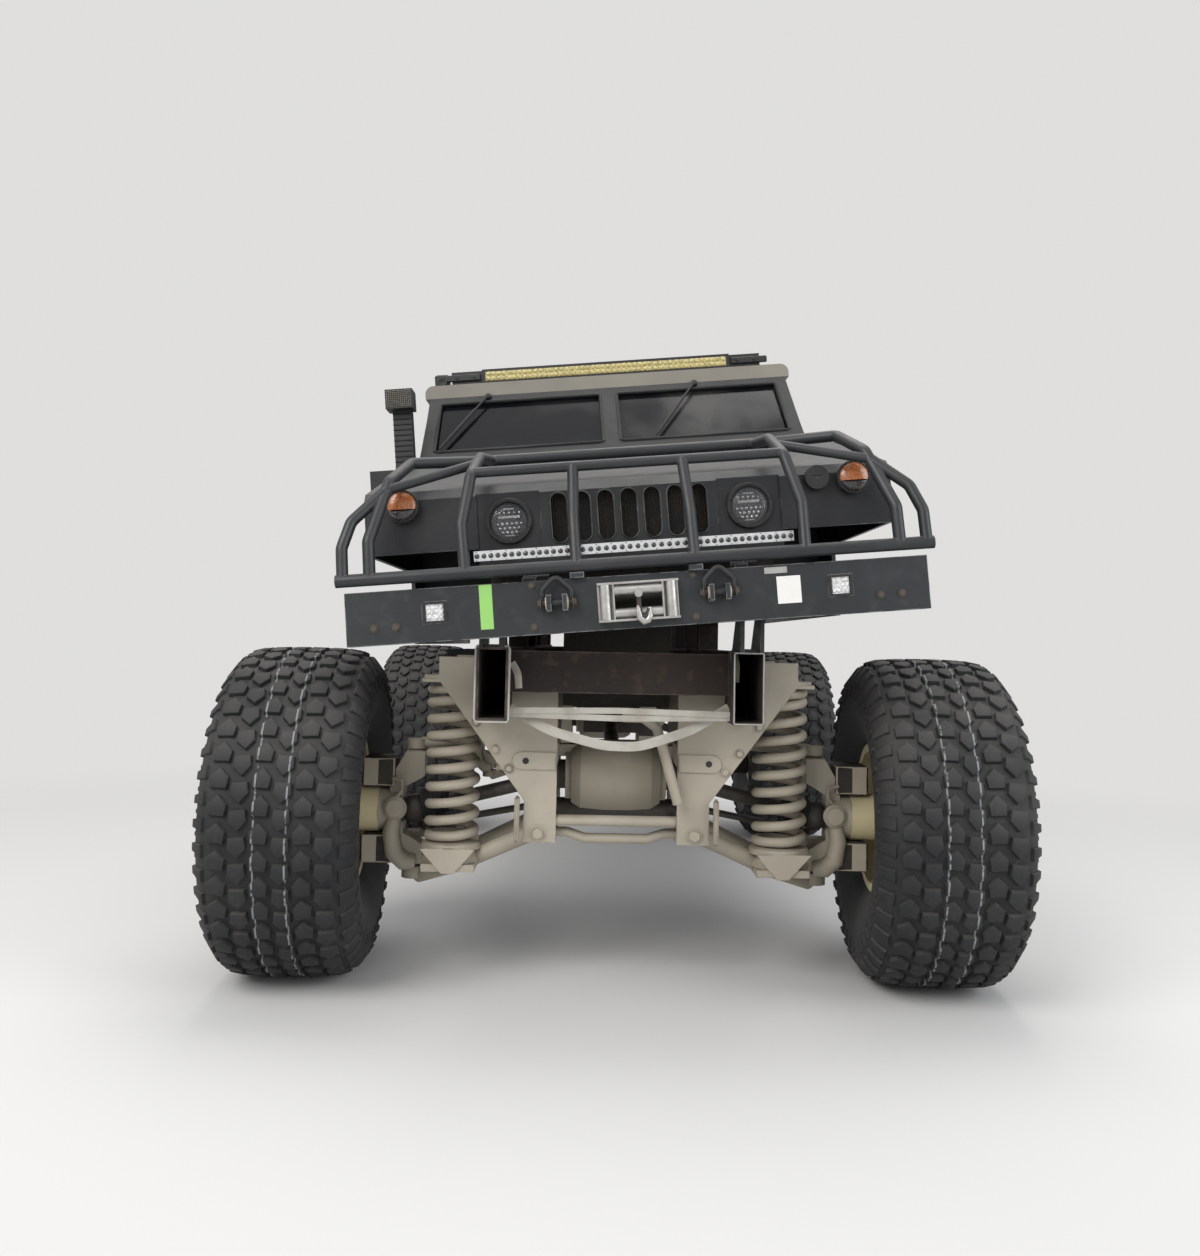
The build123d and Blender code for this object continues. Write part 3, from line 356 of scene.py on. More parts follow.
body_black = painted("body_black", (0.008, 0.009, 0.011), (0.014, 0.015, 0.017), (0.070, 0.068, 0.065),
                     (0.10, 0.10, 0.10), dusty=0.45, worn=0.35, rough=0.40)
guard_black = painted("guard_black", (0.011, 0.013, 0.016), (0.020, 0.021, 0.024), (0.075, 0.070, 0.066),
                      (0.17, 0.15, 0.13), dusty=0.5, worn=0.8, rough=0.42)
chalked_black = painted("chalked_black", (0.010, 0.012, 0.015), (0.020, 0.022, 0.026), (0.11, 0.115, 0.12),
                        (0.30, 0.30, 0.30), dusty=0.6, worn=1.0, rough=0.5)
sand_paint = painted("sand_paint", (0.39, 0.35, 0.28), (0.31, 0.275, 0.215), (0.22, 0.185, 0.14),
                     (0.075, 0.052, 0.035), dusty=0.7, worn=0.7, rough=0.55)
sand_plate = painted("sand_plate", (0.41, 0.37, 0.30), (0.33, 0.295, 0.235), (0.24, 0.205, 0.155),
                     (0.09, 0.06, 0.04), dusty=0.8, worn=0.6, rough=0.6)
roof_sand = painted("roof_sand", (0.25, 0.235, 0.195), (0.205, 0.19, 0.16), (0.32, 0.30, 0.25),
                    (0.14, 0.12, 0.10), dusty=0.7, worn=0.4, rough=0.6)
rim_cream = painted("rim_cream", (0.60, 0.53, 0.33), (0.52, 0.45, 0.27), (0.30, 0.24, 0.16),
                    (0.20, 0.15, 0.10), dusty=0.6, worn=0.5, rough=0.5)
plastic_black = painted("plastic_black", (0.010, 0.010, 0.011), (0.016, 0.016, 0.017), (0.070, 0.066, 0.060),
                        (0.08, 0.08, 0.08), dusty=0.5, worn=0, rough=0.55, grain=0.002)
print("paints", len(bpy.data.materials))


# %% [markdown]
# Rust and bare steel need another recipe: rust is patches of three browns with a rough, pitted
# surface, and worked steel is a dull metal with streaks along it. Voronoi cells make the pits.

# %% Rust and steel
def rusty(name, dark, mid, light, rough=0.82):
    """Old rust: two sizes of cloud pick between three browns, and cells pit the surface."""
    f = Finish(name)
    broad, fine, pits = f.noise(0.22, 5.0), f.noise(0.025, 6.0), f.cells(0.012)
    colour = f.mix(broad.between(0.38, 0.62), dark, mid)
    colour = f.mix(fine.between(0.52, 0.70) * 0.8, colour, light)
    colour = f.mix(f.edges(0.008) * fine.between(0.3, 0.6) * 0.6, colour, (0.21, 0.17, 0.14))
    return f.finish(colour, fine * 0.25 + (rough - 0.12), pits * 0.5 + fine, 0.0015)


def steel(name, colour, rough=0.35, metal=0.9, grime=0.5, stretch=(1, 1, 1)):
    """Worked metal: stretched streaks in the roughness, and grime in patches."""
    f = Finish(name)
    streak, patch = f.noise(0.01, 5.0, stretch), f.noise(0.06, 4.0)
    dirt = patch.between(0.45, 0.72) * grime
    shade = f.mix(streak.between(0.3, 0.7) * 0.4, colour, tuple(c * 0.6 for c in colour))
    shade = f.mix(dirt, shade, (0.06, 0.048, 0.036))
    return f.finish(shade, streak * 0.2 + dirt * 0.3 + (rough - 0.1), streak, 0.0004, (1 - dirt) * metal)


frame_rust = rusty("frame_rust", (0.017, 0.012, 0.010), (0.030, 0.020, 0.016), (0.058, 0.036, 0.026))
exhaust_rust = rusty("exhaust_rust", (0.050, 0.034, 0.026), (0.085, 0.055, 0.038), (0.17, 0.10, 0.06))
shaft_steel = steel("shaft_steel", (0.085, 0.078, 0.070), 0.5, 0.5, 0.8)
bolt_steel = steel("bolt_steel", (0.34, 0.32, 0.28), 0.4, 0.8, 0.5)
dark_bolt = steel("dark_bolt", (0.10, 0.085, 0.07), 0.5, 0.6, 0.6)
galvanised = steel("galvanised", (0.52, 0.51, 0.49), 0.42, 0.9, 0.35)
strip_silver = steel("strip_silver", (0.70, 0.71, 0.72), 0.35, 0.55, 0.12)
machine_dark = steel("machine_dark", (0.040, 0.036, 0.032), 0.6, 0.3, 0.7)
print("metals", len(bpy.data.materials))

# %% [markdown]
# ## Rubber, glass, lamps and cloth
# Rubber is nearly black, but on a truck it is mostly dust: brown on the tread and in the seams.
# The tread's own `across` attribute, in metres from the tyre's middle, lets two thin pale wear
# lines run round each front tyre, whatever way the wheel points.

# %% Soft and clear finishes
def rubber(name, lines=()):
    """Dusty rubber, with pale lines at the given distances across the tread."""
    f = Finish(name)
    slow, fine = f.noise(0.15, 5.0), f.noise(0.012, 6.0)
    colour = f.mix(slow.between(0.35, 0.7), (0.011, 0.012, 0.013), (0.019, 0.0195, 0.020))
    dust = f.facing_up().between(-0.2, 0.9) * 0.55 + fine.between(0.45, 0.8) * 0.25
    colour = f.mix(dust * slow.between(0.15, 0.6), colour, (0.075, 0.072, 0.068))
    if lines:
        across = f.node("ShaderNodeAttribute", {"attribute_name": "across"}, out="Fac")
        for at in lines:
            off = f.node("ShaderNodeMath", {"operation": "ABSOLUTE"}, [across - at])
            mark = off.between(0.0042, 0.0022) * fine.between(0.36, 0.52) * 0.75
            colour = f.mix(mark, colour, (0.30, 0.31, 0.32))
    return f.finish(colour, fine * 0.2 + 0.68, fine, 0.0008)


def clear(name, tint, rough, alpha, coat=0.0):
    """Glass as a thin dark skin that the light passes: low alpha, with dust that raises it. A near-black tint
    at high alpha, as on the windows, is painted shade.
    """
    f = Finish(name, Specular_IOR_Level=0.6, Coat_Weight=coat)
    smear, film = f.noise(0.25, 5.0), f.noise(0.02, 4.0)
    dusty = smear.between(0.45, 0.75)
    colour = f.mix(dusty * 0.25, tint, (0.10, 0.095, 0.085))
    f.plug(dusty * 0.2 + alpha, f.shader.inputs["Alpha"])
    return f.finish(colour, film * 0.1 + dusty * 0.15 + rough, film, 0.0001)


def lamp(name, colour, deep, rough=0.18, rib=0.006):
    """A moulded lens: fine ribs under a gloss coat, deeper colour in the valleys."""
    f = Finish(name, Coat_Weight=0.6, Coat_Roughness=0.08)
    ribs = f.cells(rib)
    shade = f.mix(ribs.between(0.2, 0.8), colour, deep)
    shade = f.mix(f.noise(0.04).between(0.5, 0.8) * 0.3, shade, (0.16, 0.14, 0.11))
    return f.finish(shade, f.noise(0.03) * 0.15 + rough, ribs, 0.0012)


def woven(name, colour, dark, thread=0.0035, rough=0.85):
    """Cloth: two crossed waves, one thread over the other, with stains."""
    f = Finish(name, Sheen_Weight=0.2)
    where = f.node("ShaderNodeTexCoord", out="Object")
    sizes = {"Vector": where, "Scale": 0.31 / thread}
    across = f.node("ShaderNodeTexWave", {"bands_direction": "X"}, sizes)
    along = f.node("ShaderNodeTexWave", {"bands_direction": "DIAGONAL"}, sizes)
    weave = across * along
    shade = f.mix(f.noise(0.06, 5.0).between(0.4, 0.75), colour, dark)
    shade = f.mix(weave * 0.35, shade, tuple(c * 0.55 for c in dark))
    return f.finish(shade, f.noise(0.02) * 0.1 + (rough - 0.05), weave, 0.0008)


tread_rubber = rubber("tread_rubber", lines=(-0.062, 0.058))
plain_rubber = rubber("plain_rubber")
# The windows' near-black tint at alpha 0.84 is painted shade of the cab's inside, laid on the glass.
window_glass_painted_shade = clear("window_glass_painted_shade", (0.006, 0.007, 0.009), 0.06, 0.84)
lens_glass = clear("lens_glass", (0.20, 0.21, 0.22), 0.06, 0.10, 0.5)
amber_lens = lamp("amber_lens", (0.50, 0.17, 0.05), (0.28, 0.075, 0.02))
red_lens = lamp("red_lens", (0.42, 0.015, 0.012), (0.22, 0.008, 0.008))
smoke_lens = lamp("smoke_lens", (0.05, 0.042, 0.045), (0.022, 0.02, 0.022))
yellow_led = lamp("yellow_led", (0.60, 0.52, 0.22), (0.36, 0.30, 0.12), rib=0.012)
white_led = lamp("white_led", (0.80, 0.81, 0.80), (0.50, 0.51, 0.51), rib=0.01)
mirror_metal = steel("mirror_metal", (0.75, 0.75, 0.74), 0.12, 1.0, 0.2)
pale_webbing = woven("pale_webbing", (0.50, 0.48, 0.43), (0.34, 0.31, 0.26), 0.003)
olive_webbing = woven("olive_webbing", (0.13, 0.12, 0.07), (0.08, 0.075, 0.045), 0.003)
seat_canvas = woven("seat_canvas", (0.12, 0.115, 0.095), (0.075, 0.07, 0.06))
green_tape = painted("green_tape", (0.27, 0.55, 0.14), (0.22, 0.47, 0.12), (0.35, 0.45, 0.25),
                     (0.1, 0.1, 0.1), 0.5, 0, 0.4)
white_label = painted("white_label", (0.74, 0.73, 0.70), (0.66, 0.65, 0.62), (0.45, 0.42, 0.36),
                      (0.4, 0.4, 0.4), 0.5, 0, 0.45)
print("finishes", len(bpy.data.materials))

# %% [markdown]
# ## Dressing the solids
# Most solids already have the right shape, so they only change their finish: each node's material
# slots take the new one.

# %% Nodes and their finishes
def dress(finish, *names):
    """Give each named node the finish in all its slots."""
    for name in names:
        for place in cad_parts[name].material_slots:
            place.material = finish


dress(frame_rust, "frame", "body_mounts")
dress(sand_plate, "suspension_carriers")
dress(sand_paint, "control_arms", "differentials", "rear_knuckles", "front_knuckle_left",
      "front_knuckle_right")
dress(shaft_steel, "drive_shafts", "transfer_case", "steering_rack", "tie_rods")
dress(machine_dark, "engine")
dress(exhaust_rust, "exhaust")
dress(plain_rubber, "tyre_front_left", "tyre_front_right", "tyre_rear_left", "tyre_rear_right")
dress(rim_cream, "rim_front_left", "rim_front_right", "rim_rear_left", "rim_rear_right")
dress(body_black, "hood", "cab_tub", "cargo_bed", "tailgate", "windshield_frame", "door_front_left",
      "door_front_right", "door_rear_left", "door_rear_right", "bumper_brackets", "fuel_tank")
dress(chalked_black, "bumper")
dress(guard_black, "brush_guard")
dress(roof_sand, "roof")
dress(window_glass_painted_shade, "windshield_glass", "door_glass_front_left", "door_glass_front_right",
      "door_glass_rear_left", "door_glass_rear_right")
dress(plastic_black, "mirrors", "snorkel", "wipers", "dashboard", "steering_wheel", "roof_light_bar",
      "tow_shackles", "pod_lights")
dress(galvanised, "fairlead")
dress(machine_dark, "winch")
dress(strip_silver, "light_strip")
dress(red_lens, "tail_lights")
dress(lens_glass, "headlights")
dress(amber_lens, "turn_signals")
dress(seat_canvas, "seats")
dress(pale_webbing, "tie_straps")
bare = [n for n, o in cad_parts.items() if not o.material_slots]
print("nodes without a slot:", bare)

# %% [markdown]
# ## Tyres
# The tread is what makes this truck. A real tyre like this has six staggered rows of five-sided
# lugs, wide shoulder lugs that wrap over the edge, and fine ribs on the sidewall.
# They all lie on one curved profile, so a block is drawn flat, as (along the profile, round the
# tyre, height), and one function bends that flat drawing round the tyre. Every lug is the same
# drawing shifted, so the whole tread is one array.

# %% The tyre's bent drawing board
base = np.array([(-0.208, 0.300), (-0.245, 0.345), (-0.283, 0.420), (-0.300, 0.500), (-0.296, 0.572),
                 (-0.276, 0.618), (-0.238, 0.648), (-0.190, 0.6605), (-0.100, 0.6655), (0.0, 0.667)])
base = np.concatenate([base, base[-2::-1] * (-1, 1)])
arc = np.concatenate([[0], np.cumsum(np.linalg.norm(np.diff(base, axis=0), axis=1))])
arc -= arc[-1] / 2


def on_tyre(s, turn, height):
    """Bend a flat point: s metres along the profile from the crown, `turn` radians round, height out.
    radius and side come from the profile, the height goes along the profile's outward normal."""
    x, r = np.interp(s, arc, base[:, 0]), np.interp(s, arc, base[:, 1])
    e = 0.012
    dx = np.interp(s + e, arc, base[:, 0]) - np.interp(s - e, arc, base[:, 0])
    dr = np.interp(s + e, arc, base[:, 1]) - np.interp(s - e, arc, base[:, 1])
    size = np.hypot(dx, dr)
    x, r = x - dr / size * height, r + dx / size * height
    return np.stack([x, r * np.sin(turn), r * np.cos(turn)], axis=-1)


pitches = 42
step = 2 * np.pi / pitches


def lugs(outline, s_middle, phase, height, draft=0.86, flip=1):
    """Closed lugs, one for each pitch: the outline (s, along in pitches) at the foot and, drawn in
    by the draft, at the top. Rings of outline points at three heights, and one cap."""
    shape = np.array(outline, float) * (1, flip)
    middle = shape.mean(axis=0)
    rings = []
    for share, lift in ((1.0, -0.004), (1.0 - (1 - draft) * 0.7, height * 0.90), (draft - 0.05, height)):
        rings.append(np.column_stack([middle + (shape - middle) * share, np.full(len(shape), lift)]))
    one = np.array(rings)
    k = np.arange(pitches)[:, None, None]
    turn = (k + phase + one[None, ..., 1]) * step
    points = on_tyre(s_middle + np.broadcast_to(one[None, ..., 0], turn.shape), turn,
                     np.broadcast_to(one[None, ..., 2], turn.shape))
    n = len(shape)
    wound = 1 if np.cross(shape[1] - shape[0], shape[2] - shape[1]) * 1 > 0 else -1
    side = grid_faces(3, n, wrap_cols=True)
    cap = np.arange(n)[None, :] + 2 * n
    if wound > 0:
        side, cap = side[:, ::-1], cap[:, ::-1]
    shift = (np.arange(pitches) * 3 * n)[:, None, None]
    return points.reshape(-1, 3), [(side[None] + shift).reshape(-1, 4), (cap[None] + shift).reshape(-1, n)]


five = [(-0.033, -0.36), (0.030, -0.40), (0.037, 0.05), (0.004, 0.44), (-0.036, 0.10)]
tread = []
for row, centre in enumerate((-0.196, -0.118, -0.040, 0.040, 0.118, 0.196)):
    mirror_row = -1 if row % 2 else 1
    wide = [(s * (1.04 if row in (0, 5) else 1.0), a) for s, a in five]
    wide = [(s * (1 if centre < 0 else -1), a * mirror_row) for s, a in wide]
    tread.append(lugs(wide, centre, 0.5 * (row % 2), 0.0185))
shoulder = [(-0.040, -0.22), (0.042, -0.30), (0.042, 0.24), (-0.040, 0.16)]
for end in (-1, 1):
    drawn = [(s * end, a) for s, a in shoulder]
    tread.append(lugs([(-s, a) for s, a in drawn], end * 0.290, 0.25, 0.013))
    tread.append(lugs([(s * 0.6 * end, a * 0.5) for s, a in shoulder], end * 0.372, 0.75, 0.006))
print("lugs on a tyre", sum(len(f[1]) for p, f in tread))

# %% [markdown]
# The carcass below the lugs is the same profile, swept round as one closed shell: outside, over
# the beads and back along the inside, so nothing is seen through between the lugs.

# %% The tyre's carcass and one tyre in place
def carcass():
    """Outer profile, then the inner one backwards: a closed loop turned about the axle."""
    s = np.linspace(arc[0], arc[-1], 47)
    outer = np.column_stack([np.interp(s, arc, base[:, 0]), np.interp(s, arc, base[:, 1])])
    ribs = 0.0035 * (np.cos(s * 2 * np.pi / 0.034) > 0.55) * (np.abs(s) > 0.36) * (np.abs(s) < 0.52)
    outer[:, 0] += np.sign(outer[:, 0]) * ribs
    inner = outer[::-1] * (0.88, 1) - (0, 0.022)
    inner[0], inner[-1] = outer[-1] * (0.9, 1), outer[0] * (0.9, 1)
    loop = np.concatenate([outer, inner])
    a = np.linspace(0, 2 * np.pi, 96, endpoint=False)
    points = np.stack([np.broadcast_to(loop[:, None, 0], (len(loop), 96)),
                       loop[:, None, 1] * np.sin(a), loop[:, None, 1] * np.cos(a)], axis=-1)
    return points.reshape(-1, 3), [grid_faces(len(loop), 96, wrap_rows=True, wrap_cols=True)[:, ::-1]]


def at_wheel(points, side, end):
    """Points about the wheel's own middle, turned for the side and the toe, moved to the axle."""
    p = np.array(points) * (side, side, 1) + (side * half_track, 0, tyre_r)
    if end == "front":
        a = -side * toe_in
        dx = p[:, 0] - side * kingpin_x
        p = np.column_stack([side * kingpin_x + dx * math.cos(a) - p[:, 1] * math.sin(a),
                             dx * math.sin(a) + p[:, 1] * math.cos(a), p[:, 2]])
    return p + (0, axle_y[end], 0)


def body_of_wheel(side, end):
    return f"wheel_{end}_{side_names[side]}"


whole = [carcass()] + tread
for end in ("front", "rear"):
    for side in (-1, 1):
        parts = [(at_wheel(p, side, end), f) for p, f in whole]
        name = f"tyre_{end}_{side_names[side]}"
        tyre = piece(f"lugged_{name}", parts, body_of_wheel(side, end),
                     tread_rubber if end == "front" else plain_rubber, stands_for=[name])
        flat = np.concatenate([np.reshape(p, (-1, 3))[:, 0] for p, f in whole]) * side
        mark = tyre.data.attributes.new("across", "FLOAT", "POINT")
        mark.data.foreach_set("value", flat.astype(np.float32))

# %% [markdown]
# ## Coil springs
# A coil is a circle that climbs: x and y turn with the angle while z rises with it.
# At each end the last turn lies flat, so the climb is eased there, as on a real ground spring.

# %% Four coils
def coil(centre, low, high, turns=10.0, radius=0.095, wire=0.020):
    """Helix: centre + radius * (cos t, sin t) and a height that grows with t, eased at both ends."""
    t = np.linspace(0, 1, int(turns * 28))
    angle = t * turns * 2 * np.pi
    end = 0.8 / turns
    climb = np.interp(t, [0, end, 1 - end, 1], [0, 0.035, 0.965, 1])
    z = low + wire + climb * (high - low - 2 * wire)
    path = np.column_stack([centre[0] + radius * np.cos(angle), centre[1] + radius * np.sin(angle), z])
    return piped(path, wire, 10)


springs = []
for end in ("front", "rear"):
    for side in (-1, 1):
        springs.append(coil((side * spring_x, axle_y[end] - spring_ahead), 0.572, 1.240))
piece("wound_springs", springs, "chassis", sand_paint, stands_for=["coil_springs"])

# %% [markdown]
# ## Front lamps and grille
# The round lamps are modern units: a black rim with small bolts, a clear cover, and behind it a
# bright bar over rows of little lenses. The grille's seven slots show a square wire mesh.
# All of it is written for the upright body and then leaned, so the rows stay straight.

# %% Headlamps, mesh and slot lips
hood_face = front_y - 0.500
lamp_level, slot_pitch, slot_r = 1.928, 0.092, 0.0335
forward = (0, -1, 0)


def dome(centre, r, rise, direction=forward, sides=12):
    """A lens bump: an ellipse quarter turned about its axis."""
    a = np.linspace(0, 0.5 * np.pi - 0.08, 5)
    return turned([(rise * math.sin(t), r * math.cos(t)) for t in a], centre, direction, sides)


def headlamp(x):
    """The parts of one headlamp about (x, hood face, lamp height): rim, optics and cover."""
    z = lamp_level
    rim = [turned([(-0.058, 0.0005), (-0.058, 0.0912), (0.009, 0.0912), (0.012, 0.088), (0.012, 0.077),
                   (-0.004, 0.073), (-0.026, 0.070), (-0.026, 0.0005)], (x, hood_face, z), forward, 40)]
    for k in range(10):
        a = 2 * np.pi * (k + 0.5) / 10
        place = (x + 0.083 * math.cos(a), hood_face - 0.012, z + 0.083 * math.sin(a))
        rim.append(rivet(place, forward, 0.0045))
    y = hood_face + 0.024
    optics = [boxed((x - 0.046, y - 0.012, z + 0.010), (x + 0.046, y, z + 0.026)),
              boxed((x - 0.022, y - 0.012, z + 0.046), (x + 0.022, y, z + 0.054), 0.002),
              boxed((x - 0.022, y - 0.012, z - 0.060), (x + 0.022, y, z - 0.053), 0.002)]
    for row, count in ((-0.008, 6), (-0.026, 5), (-0.043, 4)):
        for k in range(count):
            optics.append(dome((x + (k - (count - 1) / 2) * 0.019, y, z + row), 0.0085, 0.010))
    for k in range(5):
        optics.append(dome((x + (k - 2) * 0.021, y, z + 0.036), 0.0075, 0.008))
    cover = [turned([(-0.003, 0.0735), (0.003, 0.066), (0.008, 0.040), (0.010, 0.0005)],
                    (x, hood_face, z), forward, 40)]
    return rim, optics, cover


rims, optics, covers = [], [], []
for x in (-0.475, 0.475):
    for group, more in zip((rims, optics, covers), headlamp(x)):
        group += [leaned(p) for p in more]
piece("headlamp_rims", rims, "hood_body", plastic_black, stands_for=["headlights"])
piece("headlamp_optics", optics, "hood_body", mirror_metal)
piece("headlamp_covers", covers, "hood_body", lens_glass)

mesh_y, mesh_low, mesh_high, mesh_half = hood_face + 0.021, 1.815, 2.036, 0.345
wires = [piped([(x, mesh_y, mesh_low), (x, mesh_y, mesh_high)], 0.0012, 4)
         for x in np.arange(-mesh_half, mesh_half + 0.001, 0.0115)]
wires += [piped([(-mesh_half, mesh_y + 0.002, z), (mesh_half, mesh_y + 0.002, z)], 0.0012, 4)
          for z in np.arange(mesh_low, mesh_high, 0.0115)]
piece("grille_mesh", [leaned(w) for w in wires], "hood_body", machine_dark, smooth=False)
lips = []
for k in range(7):
    a = np.linspace(0, 2 * np.pi, 40, endpoint=False)
    x = slot_pitch * (k - 3) + slot_r * np.cos(a)
    z = lamp_level + slot_r * np.sin(a) + np.sign(np.sin(a)) * 2 * slot_r
    path = np.column_stack([x, np.full(40, hood_face - 0.0005), z])
    lips.append(leaned(piped(path, 0.0035, 6, closed=True)))
piece("grille_slot_lips", lips, "hood_body", body_black)

# %% [markdown]
# ## Signals and the shielded lamp
# Each signal is a round lens, amber above and smoked below, in a black rim. The small lamp beside
# the driver's signal has a hood over a narrow slit, so that it can't be seen from above.

# %% Signals
signal_x, signal_z, signal_r, signal_deep = 0.885, 2.008, 0.066, 0.045


def half_disc(x, upper):
    """The upper or lower part of a bulged lens, cut by a level line under its middle."""
    a = np.linspace(-0.25, np.pi + 0.25, 25) if upper else np.linspace(np.pi + 0.25, 2 * np.pi - 0.25, 25)
    rows = []
    for share, rise in ((1.0, 0.0), (0.96, 0.008), (0.80, 0.014), (0.5, 0.018), (0.25, 0.019)):
        low = -0.247 * (1 - share) if upper else -0.60 * (1 - share)
        rows.append(np.column_stack([x + 0.056 * share * np.cos(a), np.full(25, front_y - 0.545 - rise),
                                     signal_z + 0.056 * (share * np.sin(a) + low)]))
    rows = np.array(rows)
    faces = grid_faces(len(rows), 25, wrap_cols=True)
    cap = np.arange(25)[None, :] + (len(rows) - 1) * 25
    return rows.reshape(-1, 3), [faces, cap]


cases, ambers, smokes = [], [], []
for x in (-signal_x, signal_x):
    profile = [(0.0, signal_r - 0.004), (signal_deep - 0.004, signal_r), (signal_deep, signal_r - 0.003),
               (signal_deep, 0.0005)]
    cases.append(turned(profile, (x, hood_face, signal_z), forward, 36))
    ambers.append(half_disc(x, True))
    smokes.append(half_disc(x, False))
lamp_x, lamp_z = 0.742, 2.016
cases.append(turned([(0, 0.046), (0.036, 0.050), (0.045, 0.047), (0.045, 0.030), (0.041, 0.0005)],
                    (lamp_x, hood_face, lamp_z), forward, 32))
for half, deep, low, high in ((0.034, 0.0448, 0.004, 0.016), (0.040, 0.043, 0.024, 0.030)):
    cases.append(boxed((lamp_x - half, hood_face - deep, lamp_z + low),
                       (lamp_x + half, hood_face - 0.03, lamp_z + high)))
smokes.append(dome((lamp_x, hood_face - 0.036, lamp_z - 0.008), 0.028, 0.006, sides=20))
piece("signal_cases", [leaned(p) for p in cases], "hood_body", plastic_black,
      stands_for=["turn_signals"])
piece("signal_ambers", [leaned(p) for p in ambers], "hood_body", amber_lens)
piece("signal_smokes", [leaned(p) for p in smokes], "hood_body", smoke_lens)

# %% [markdown]
# ## The light strip, bumper lamps and roof bar
# Light-emitting lamps are rows of the same small lens, so each is a list of centres along a line.

# %% Rows of small lenses
strip = []
for low, high in ((-0.588, -0.250), (-0.192, 0.192), (0.250, 0.588)):
    for x in np.linspace(low, high, 14):
        strip.append(leaned(dome((x, front_y - 0.712, 1.779), 0.0098, 0.004, sides=14)))
piece("strip_lenses", strip, "guard_body", smoke_lens)
screws = [leaned(rivet((x, front_y - 0.712, z), forward, 0.003))
          for x in np.linspace(-0.59, 0.59, 22) for z in (1.7635, 1.7945)]
piece("strip_screws", screws, "guard_body", bolt_steel)

bumper_front = front_y - 0.735
pods = []
for x in (-0.755, 0.755):
    pods.append(leaned(boxed((x - 0.033, bumper_front + 0.001, 1.545),
                             (x + 0.033, bumper_front + 0.004, 1.615), 0.001)))
    for i in range(4):
        for k in range(3):
            pods.append(leaned(dome((x + (i - 1.5) * 0.0165, bumper_front + 0.003, 1.580 + (k - 1) * 0.0195),
                                    0.0088, 0.006, sides=10)))
piece("bumper_lamp_lenses", pods, "chassis", white_led)

bar_y, bar_z = front_y + 1.240, (2.905, 2.985)
window = [leaned(boxed((-0.672, bar_y - 0.002, bar_z[0] + 0.014),
                       (0.672, bar_y + 0.01, bar_z[1] - 0.014), 0.002))]
for x in np.linspace(-0.655, 0.655, 46):
    for z in (bar_z[0] + 0.027, bar_z[1] - 0.027):
        window.append(leaned(dome((x, bar_y - 0.002, z), 0.0128, 0.006, sides=12)))
piece("roof_bar_lenses", window, "chassis", yellow_led)
fins = [leaned(boxed((x - 0.002, bar_y + 0.080, bar_z[0] + 0.006),
                     (x + 0.002, bar_y + 0.094, bar_z[1] - 0.006), 0.001))
        for x in np.linspace(-0.66, 0.66, 56)]
fins.append(leaned(boxed((-0.955, bar_y + 0.005, 2.872), (-0.875, bar_y + 0.085, 2.972), 0.008)))
fins.append(leaned(turned([(0, 0.028), (0.012, 0.028), (0.014, 0.022), (0.006, 0.0005)],
                          (-0.915, bar_y + 0.005, 2.925), forward, 20)))
for s in (-1, 1):
    fins.append(leaned(boxed((s * 0.70, bar_y - 0.006, 2.926), (s * 0.90, bar_y + 0.012, 2.962), 0.004)))
    for x in (0.735, 0.83):
        fins += [leaned(p) for p in hex_bolt((s * x, bar_y - 0.006, 2.944), forward, 0.014, 0.007)]
piece("roof_bar_fins", fins, "chassis", plastic_black)

# %% [markdown]
# ## Windscreen trim and wipers
# Rubber holds each pane: a bead runs round the opening on the frame's slanted plane. The arms hang
# from pivots at the top edge, and each blade lies on the lower part of its pane.

# %% Beads and wipers
screen_foot = np.array([0, front_y + 0.960, 2.430])
screen_up = np.array([0, 0.220, 0.375])
screen_high = float(np.linalg.norm(screen_up))
screen_up /= screen_high
screen_out = np.array([0, -screen_up[2], screen_up[1]])


def on_screen(x, v, lift):
    """x across, v up the slope and lift off the frame's middle plane, as a point."""
    return np.array([x, 0, 0]) + screen_foot + screen_up * v + screen_out * lift


beads = []
for side in (-1, 1):
    corners = [(0.045, 0.050), (0.945, 0.050), (0.915, screen_high - 0.045), (0.045, screen_high - 0.045)]
    path = []
    for (xa, va), (xb, vb) in zip(corners, corners[1:] + corners[:1]):
        for t in (0.02, 0.5, 0.98):
            path.append(on_screen(side * (xa + (xb - xa) * t), va + (vb - va) * t, 0.024))
    beads.append(leaned(piped(path, 0.009, 8, closed=True)))
piece("screen_beads", beads, "chassis", plain_rubber)

arms, blades = [], []
pivot_high = screen_high - 0.015
for pivot_x, low_x in ((-0.655, -0.915), (0.475, 0.235)):
    top, end = on_screen(pivot_x, pivot_high, 0.045), on_screen(low_x, 0.065, 0.034)
    middle = end + (top - end) * 0.42
    arms.append(leaned(piped([top, top + (middle - top) * 0.3, middle], [0.008, 0.006, 0.0045], 8)))
    foot = on_screen(pivot_x, pivot_high, 0.026)
    arms.append(leaned(turned([(0, 0.017), (0.016, 0.017), (0.021, 0.011)], foot, screen_out, 16)))
    blades.append(leaned(piped([end + (top - end) * t for t in (0, 0.04, 0.42, 0.72, 0.76)],
                               [0.004, 0.008, 0.010, 0.008, 0.004], 8)))
piece("wiper_arms", arms, "chassis", plastic_black, stands_for=["wipers"])
piece("wiper_blades", blades, "chassis", plain_rubber)

# %% [markdown]
# ## The front's stickers, washers and pins
# Small flat things are boxes a few millimetres thick, laid on the face that carries them.
# The shackles' washers are turned discs on the line of each pin.

